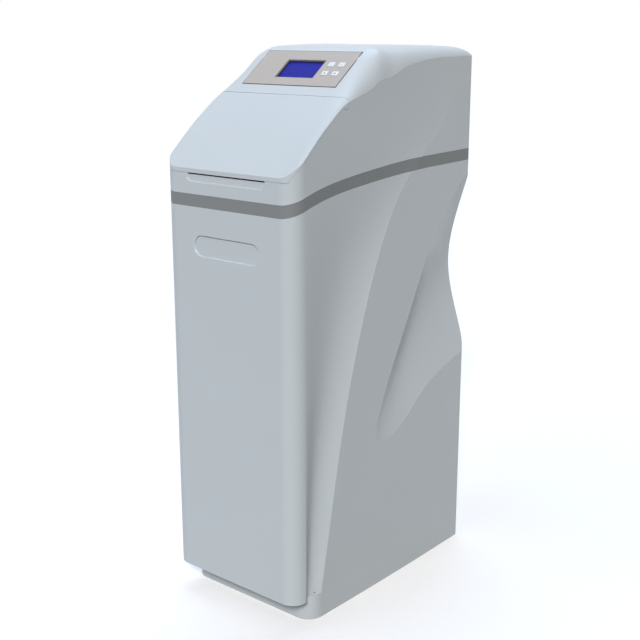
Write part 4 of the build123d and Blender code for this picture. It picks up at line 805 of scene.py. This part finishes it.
@dataclass
class PipeNipple:
    """Threaded brass nipple at the end of one way of the bypass.

    Args:
        shop: Where pieces are finished.
        node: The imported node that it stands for.
        x: Place of its axis.
        z: Height of its axis.
        start: Where the hexagon begins.
        spigot: Radius and length of the end inside the bypass.
        hexagon: Radius to the corners and thickness.
        major: Outer radius of the thread.
        minor: Radius at the thread's root.
        bore: Radius of the waterway.
        length: Length of the threaded end.
        pitch: Rise of the thread in one turn.
        chamfer: Size of the bevel at the open end.
        overlap: How far the spigot runs into the hexagon, and hexagon and thread into the barrel.
        bite: How deep the thread's root stands in the barrel.
        shoulder: Share of the hexagon's radius where its corners begin to be turned off.
        slope: Fall of the turned corners.
        run_in: Plain length before the thread and after it.
        flank: Half the thread's width at its root and at its crest, as shares of the pitch.
        turn_steps: Steps of the thread in one turn.
    """

    shop: Workshop
    node: str
    x: float
    z: float = 878.0 * MM
    start: float = 318.0 * MM
    spigot: tuple[float, float] = (12.5 * MM, 5.5 * MM)
    hexagon: tuple[float, float] = (20.0 * MM, 9.0 * MM)
    major: float = 13.2 * MM
    minor: float = 12.1 * MM
    bore: float = 9.5 * MM
    length: float = 22.0 * MM
    pitch: float = 1.814 * MM
    chamfer: float = 0.8 * MM
    overlap: tuple[float, float] = (0.5 * MM, 0.3 * MM)
    bite: float = 0.02 * MM
    shoulder: float = 0.9
    slope: float = 0.55
    run_in: tuple[float, float] = (1.6 * MM, 1.8 * MM)
    flank: tuple[float, float] = (0.42, 0.12)
    turn_steps: int = 32

    def build(self) -> None:
        """Makes the nipple as one piece and lets it stand for its node."""
        bm = bmesh.new()
        self._barrel(bm)
        self._flats(bm)
        self._thread(bm)
        lay = Matrix.Rotation(-math.pi / 2, 3, "X")
        bmesh.ops.rotate(bm, cent=(0, 0, 0), matrix=lay, verts=bm.verts)
        bmesh.ops.translate(bm, vec=(self.x, self.start, self.z), verts=bm.verts)
        piece = self.shop.add(bm, f"{self.node}_threaded", Slot.BRASS, "cabinet")
        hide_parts(self.node)

    def _barrel(self, bm: bmesh.types.BMesh) -> None:
        """Turned tube from the spigot to the open end.

        Args:
            bm: The mesh to add to.
        """
        end = self.hexagon[1] + self.length
        step = self.overlap[0]
        outline = [
            (self.bore, -self.spigot[1]),
            (self.spigot[0], -self.spigot[1]),
            (self.spigot[0], step),
            (self.minor, step),
            (self.minor, end - self.chamfer),
            (self.minor - self.chamfer, end),
            (self.bore, end),
        ]
        part = bmesh.new()
        verts = [part.verts.new((r, 0.0, z)) for r, z in outline]
        edges = [part.edges.new(pair) for pair in zip(verts, verts[1:] + verts[:1])]
        bmesh.ops.spin(
            part,
            geom=verts + edges,
            cent=(0, 0, 0),
            axis=(0, 0, 1),
            angle=2 * math.pi,
            steps=ROUND_STEPS,
            use_merge=True,
        )
        merge(bm, part)

    def _flats(self, bm: bmesh.types.BMesh) -> None:
        """Hexagon for the spanner, with its corners turned off.

        Args:
            bm: The mesh to add to.
        """
        radius, thick = self.hexagon
        part = bmesh.new()
        rim = bmesh.ops.create_circle(part, segments=HEXAGON_SIDES, radius=radius)["verts"]
        sides = {e for v in rim for e in v.link_edges}
        cuts = ROUND_STEPS // HEXAGON_SIDES - 1
        bmesh.ops.subdivide_edges(part, edges=list(sides), cuts=cuts)
        outer = part.edges[:]
        inside = self.minor - self.overlap[1]
        hole = bmesh.ops.create_circle(part, segments=ROUND_STEPS, radius=inside)["verts"]
        inner = list({e for v in hole for e in v.link_edges})
        face = bmesh.ops.bridge_loops(part, edges=outer + inner)["faces"]
        raised = bmesh.ops.extrude_face_region(part, geom=face)["geom"]
        top = [v for v in raised if isinstance(v, bmesh.types.BMVert)]
        bmesh.ops.translate(part, vec=(0, 0, thick), verts=top)
        for v in part.verts:
            reach = math.hypot(v.co.x, v.co.y)
            fall = max(0.0, reach - self.shoulder * radius) * self.slope
            v.co.z += fall if v.co.z < thick / 2 else -fall
        merge(bm, part)

    def _thread(self, bm: bmesh.types.BMesh) -> None:
        """Screw thread wound round the barrel.

        Args:
            bm: The mesh to add to.
        """
        low = self.hexagon[1] + self.run_in[0]
        turns = int((self.length - sum(self.run_in)) / self.pitch)
        root, crest = (share * self.pitch for share in self.flank)
        base = self.minor - self.bite
        sunk = self.minor - self.overlap[1]
        outline = [
            (sunk, -root),
            (base, -root),
            (self.major, -crest),
            (self.major, crest),
            (base, root),
            (sunk, root),
        ]
        part = bmesh.new()
        verts = [part.verts.new((r, 0.0, low + z)) for r, z in outline]
        start = part.faces.new(verts)
        bmesh.ops.spin(
            part,
            geom=[start],
            cent=(0, 0, 0),
            axis=(0, 0, 1),
            dvec=(0, 0, self.pitch / self.turn_steps),
            angle=2 * math.pi * turns,
            steps=self.turn_steps * turns,
            use_merge=False,
        )
        merge(bm, part)


@dataclass(frozen=True)
class Shot:
    """The photograph's camera.

    Args:
        place: Camera position.
        tilt: Angle of the view up from straight down, in degrees.
        turn: Heading, in degrees.
        lens: Focal length, in millimetres.
        sensor: Width of the sensor, in millimetres.
        reach: Farthest distance that is drawn.
    """

    place: tuple[float, float, float] = (1.356489, -1.634380, 1.085058)
    tilt: float = 75.066
    turn: float = 39.943
    lens: float = 61.643
    sensor: float = 36.0
    reach: float = 100.0

    def set_up(self) -> None:
        """Adds the camera and makes it the scene's."""
        data = bpy.data.cameras.new("camera")
        data.lens = self.lens
        data.sensor_width = self.sensor
        data.clip_end = self.reach
        cam = bpy.data.objects.new("camera", data)
        cam.location = self.place
        cam.rotation_euler = (math.radians(self.tilt), 0.0, math.radians(self.turn))
        bpy.context.scene.collection.objects.link(cam)
        bpy.context.scene.camera = cam
        log.info("camera at %s", self.place)


@dataclass(frozen=True)
class Lamp:
    """One distant soft light.

    Args:
        name: Object name.
        toward: Direction from the object to the light.
        level: Light on a face turned to it, where 1 shows a colour as it is.
        spread: Width of the light in the sky, in degrees; wide is soft.
        color: Light colour.
    """

    name: str
    toward: tuple[float, float, float]
    level: float
    spread: float
    color: tuple[float, float, float] = (1.0, 1.0, 1.0)

    def set_up(self) -> None:
        """Adds the light, turned to the object."""
        data = bpy.data.lights.new(self.name, "SUN")
        data.energy = self.level * math.pi
        data.angle = math.radians(self.spread)
        data.color = self.color
        lamp = bpy.data.objects.new(self.name, data)
        lamp.rotation_euler = (-Vector(self.toward)).to_track_quat("-Z", "Y").to_euler()
        bpy.context.scene.collection.objects.link(lamp)


LAMPS = (
    Lamp("key", (0.49, -0.66, 0.57), 0.80, 12.0, (1.01, 1.0, 0.975)),
    Lamp("front", (-0.30, -0.50, 0.81), 0.21, 50.0, (0.80, 0.99, 1.24)),
    Lamp("sky", (-0.30, 0.40, 0.87), 0.32, 45.0, (0.80, 0.99, 1.26)),
)


@dataclass
class Studio:
    """Floor, backdrop and light.

    Args:
        floor_size: Half the floor's width.
        ambient: Strength of the even light from all round.
        bounce: Light that the pale floor throws back on the object.
        shadow: How much of the floor's own shading is seen.
        glow: White that is laid over the shading, so that the open floor is plain white.
        floor_color: Colour of the floor's shading.
        bounce_color: Colour of the light that the floor throws back.
        air_color: Colour of the even light.
    """

    floor_size: float = 14.0
    ambient: float = 0.07
    bounce: float = 0.345
    shadow: float = 0.92
    glow: float = 2.30
    floor_color: tuple[float, float, float] = (1.0, 0.97, 0.96)
    bounce_color: tuple[float, float, float] = (1.0, 1.0, 0.98)
    air_color: tuple[float, float, float] = (0.95, 0.98, 1.04)

    def set_up(self) -> None:
        """Builds the studio."""
        self._floor()
        self._world()
        for lamp in LAMPS:
            lamp.set_up()
        bpy.context.scene.view_settings.view_transform = "Standard"
        log.info("studio with %d lamps", len(LAMPS))

    def _seen(self, tree: bpy.types.NodeTree) -> bpy.types.NodeSocket:
        """Finds out whether the camera looks at a surface, straight or by a mirror or glass.

        Args:
            tree: The node tree.

        Returns:
            A socket that is 1 where it does.
        """
        path = tree.nodes.new("ShaderNodeLightPath")
        first = tree.nodes.new("ShaderNodeMath")
        first.operation = "MAXIMUM"
        tree.links.new(path.outputs["Is Camera Ray"], first.inputs[0])
        tree.links.new(path.outputs["Is Glossy Ray"], first.inputs[1])
        second = tree.nodes.new("ShaderNodeMath")
        second.operation = "MAXIMUM"
        tree.links.new(first.outputs["Value"], second.inputs[0])
        tree.links.new(path.outputs["Is Transmission Ray"], second.inputs[1])
        return second.outputs["Value"]

    def _floor(self) -> None:
        """Pale floor on which only a soft shadow is seen."""
        mesh = bpy.data.meshes.new("floor")
        bm = bmesh.new()
        bmesh.ops.create_grid(bm, x_segments=2, y_segments=2, size=self.floor_size)
        bm.to_mesh(mesh)
        bm.free()
        floor = bpy.data.objects.new("floor", mesh)
        bpy.context.scene.collection.objects.link(floor)
        mat = bpy.data.materials.new("mat_floor")
        mat.use_nodes = True
        tree = mat.node_tree
        tree.nodes.clear()
        plain = tree.nodes.new("ShaderNodeEmission")
        plain.inputs["Color"].default_value = (*self.bounce_color, 1.0)
        plain.inputs["Strength"].default_value = self.bounce
        shaded = tree.nodes.new("ShaderNodeBsdfDiffuse")
        shaded.inputs["Color"].default_value = (*self.floor_color, 1.0)
        glow = tree.nodes.new("ShaderNodeEmission")
        glow.inputs["Color"].default_value = WHITE
        glow.inputs["Strength"].default_value = self.glow
        white = tree.nodes.new("ShaderNodeMixShader")
        white.inputs["Fac"].default_value = self.shadow
        mix = tree.nodes.new("ShaderNodeMixShader")
        out = tree.nodes.new("ShaderNodeOutputMaterial")
        tree.links.new(glow.outputs["Emission"], white.inputs[1])
        tree.links.new(shaded.outputs["BSDF"], white.inputs[2])
        tree.links.new(self._seen(tree), mix.inputs["Fac"])
        tree.links.new(plain.outputs["Emission"], mix.inputs[1])
        tree.links.new(white.outputs["Shader"], mix.inputs[2])
        tree.links.new(mix.outputs["Shader"], out.inputs["Surface"])
        floor.data.materials.append(mat)

    def _world(self) -> None:
        """Even light from all round; white where the camera looks past the floor."""
        world = bpy.data.worlds.new("world")
        bpy.context.scene.world = world
        world.use_nodes = True
        tree = world.node_tree
        tree.nodes.clear()
        soft = tree.nodes.new("ShaderNodeBackground")
        soft.inputs["Color"].default_value = (*self.air_color, 1.0)
        soft.inputs["Strength"].default_value = self.ambient
        white = tree.nodes.new("ShaderNodeBackground")
        white.inputs["Color"].default_value = WHITE
        white.inputs["Strength"].default_value = 1.0
        mix = tree.nodes.new("ShaderNodeMixShader")
        out = tree.nodes.new("ShaderNodeOutputWorld")
        tree.links.new(self._seen(tree), mix.inputs["Fac"])
        tree.links.new(soft.outputs["Background"], mix.inputs[1])
        tree.links.new(white.outputs["Background"], mix.inputs[2])
        tree.links.new(mix.outputs["Shader"], out.inputs["Surface"])


# Nodes of the two nipples and where their axes are across the object.
NIPPLES = (("inlet_nipple", -38.0 * MM), ("outlet_nipple", 38.0 * MM))


def main() -> None:
    """Builds the whole scene."""
    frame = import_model()
    palette = Palette()
    palette.mix()
    Dresser(palette).dress(frame)
    shop = Workshop(palette)
    ControlPanel(shop).build()
    BoardParts(shop).build()
    for node, x in NIPPLES:
        PipeNipple(shop, node, x).build()
    Studio().set_up()
    Shot().set_up()


if __name__ == "__main__":
    main()
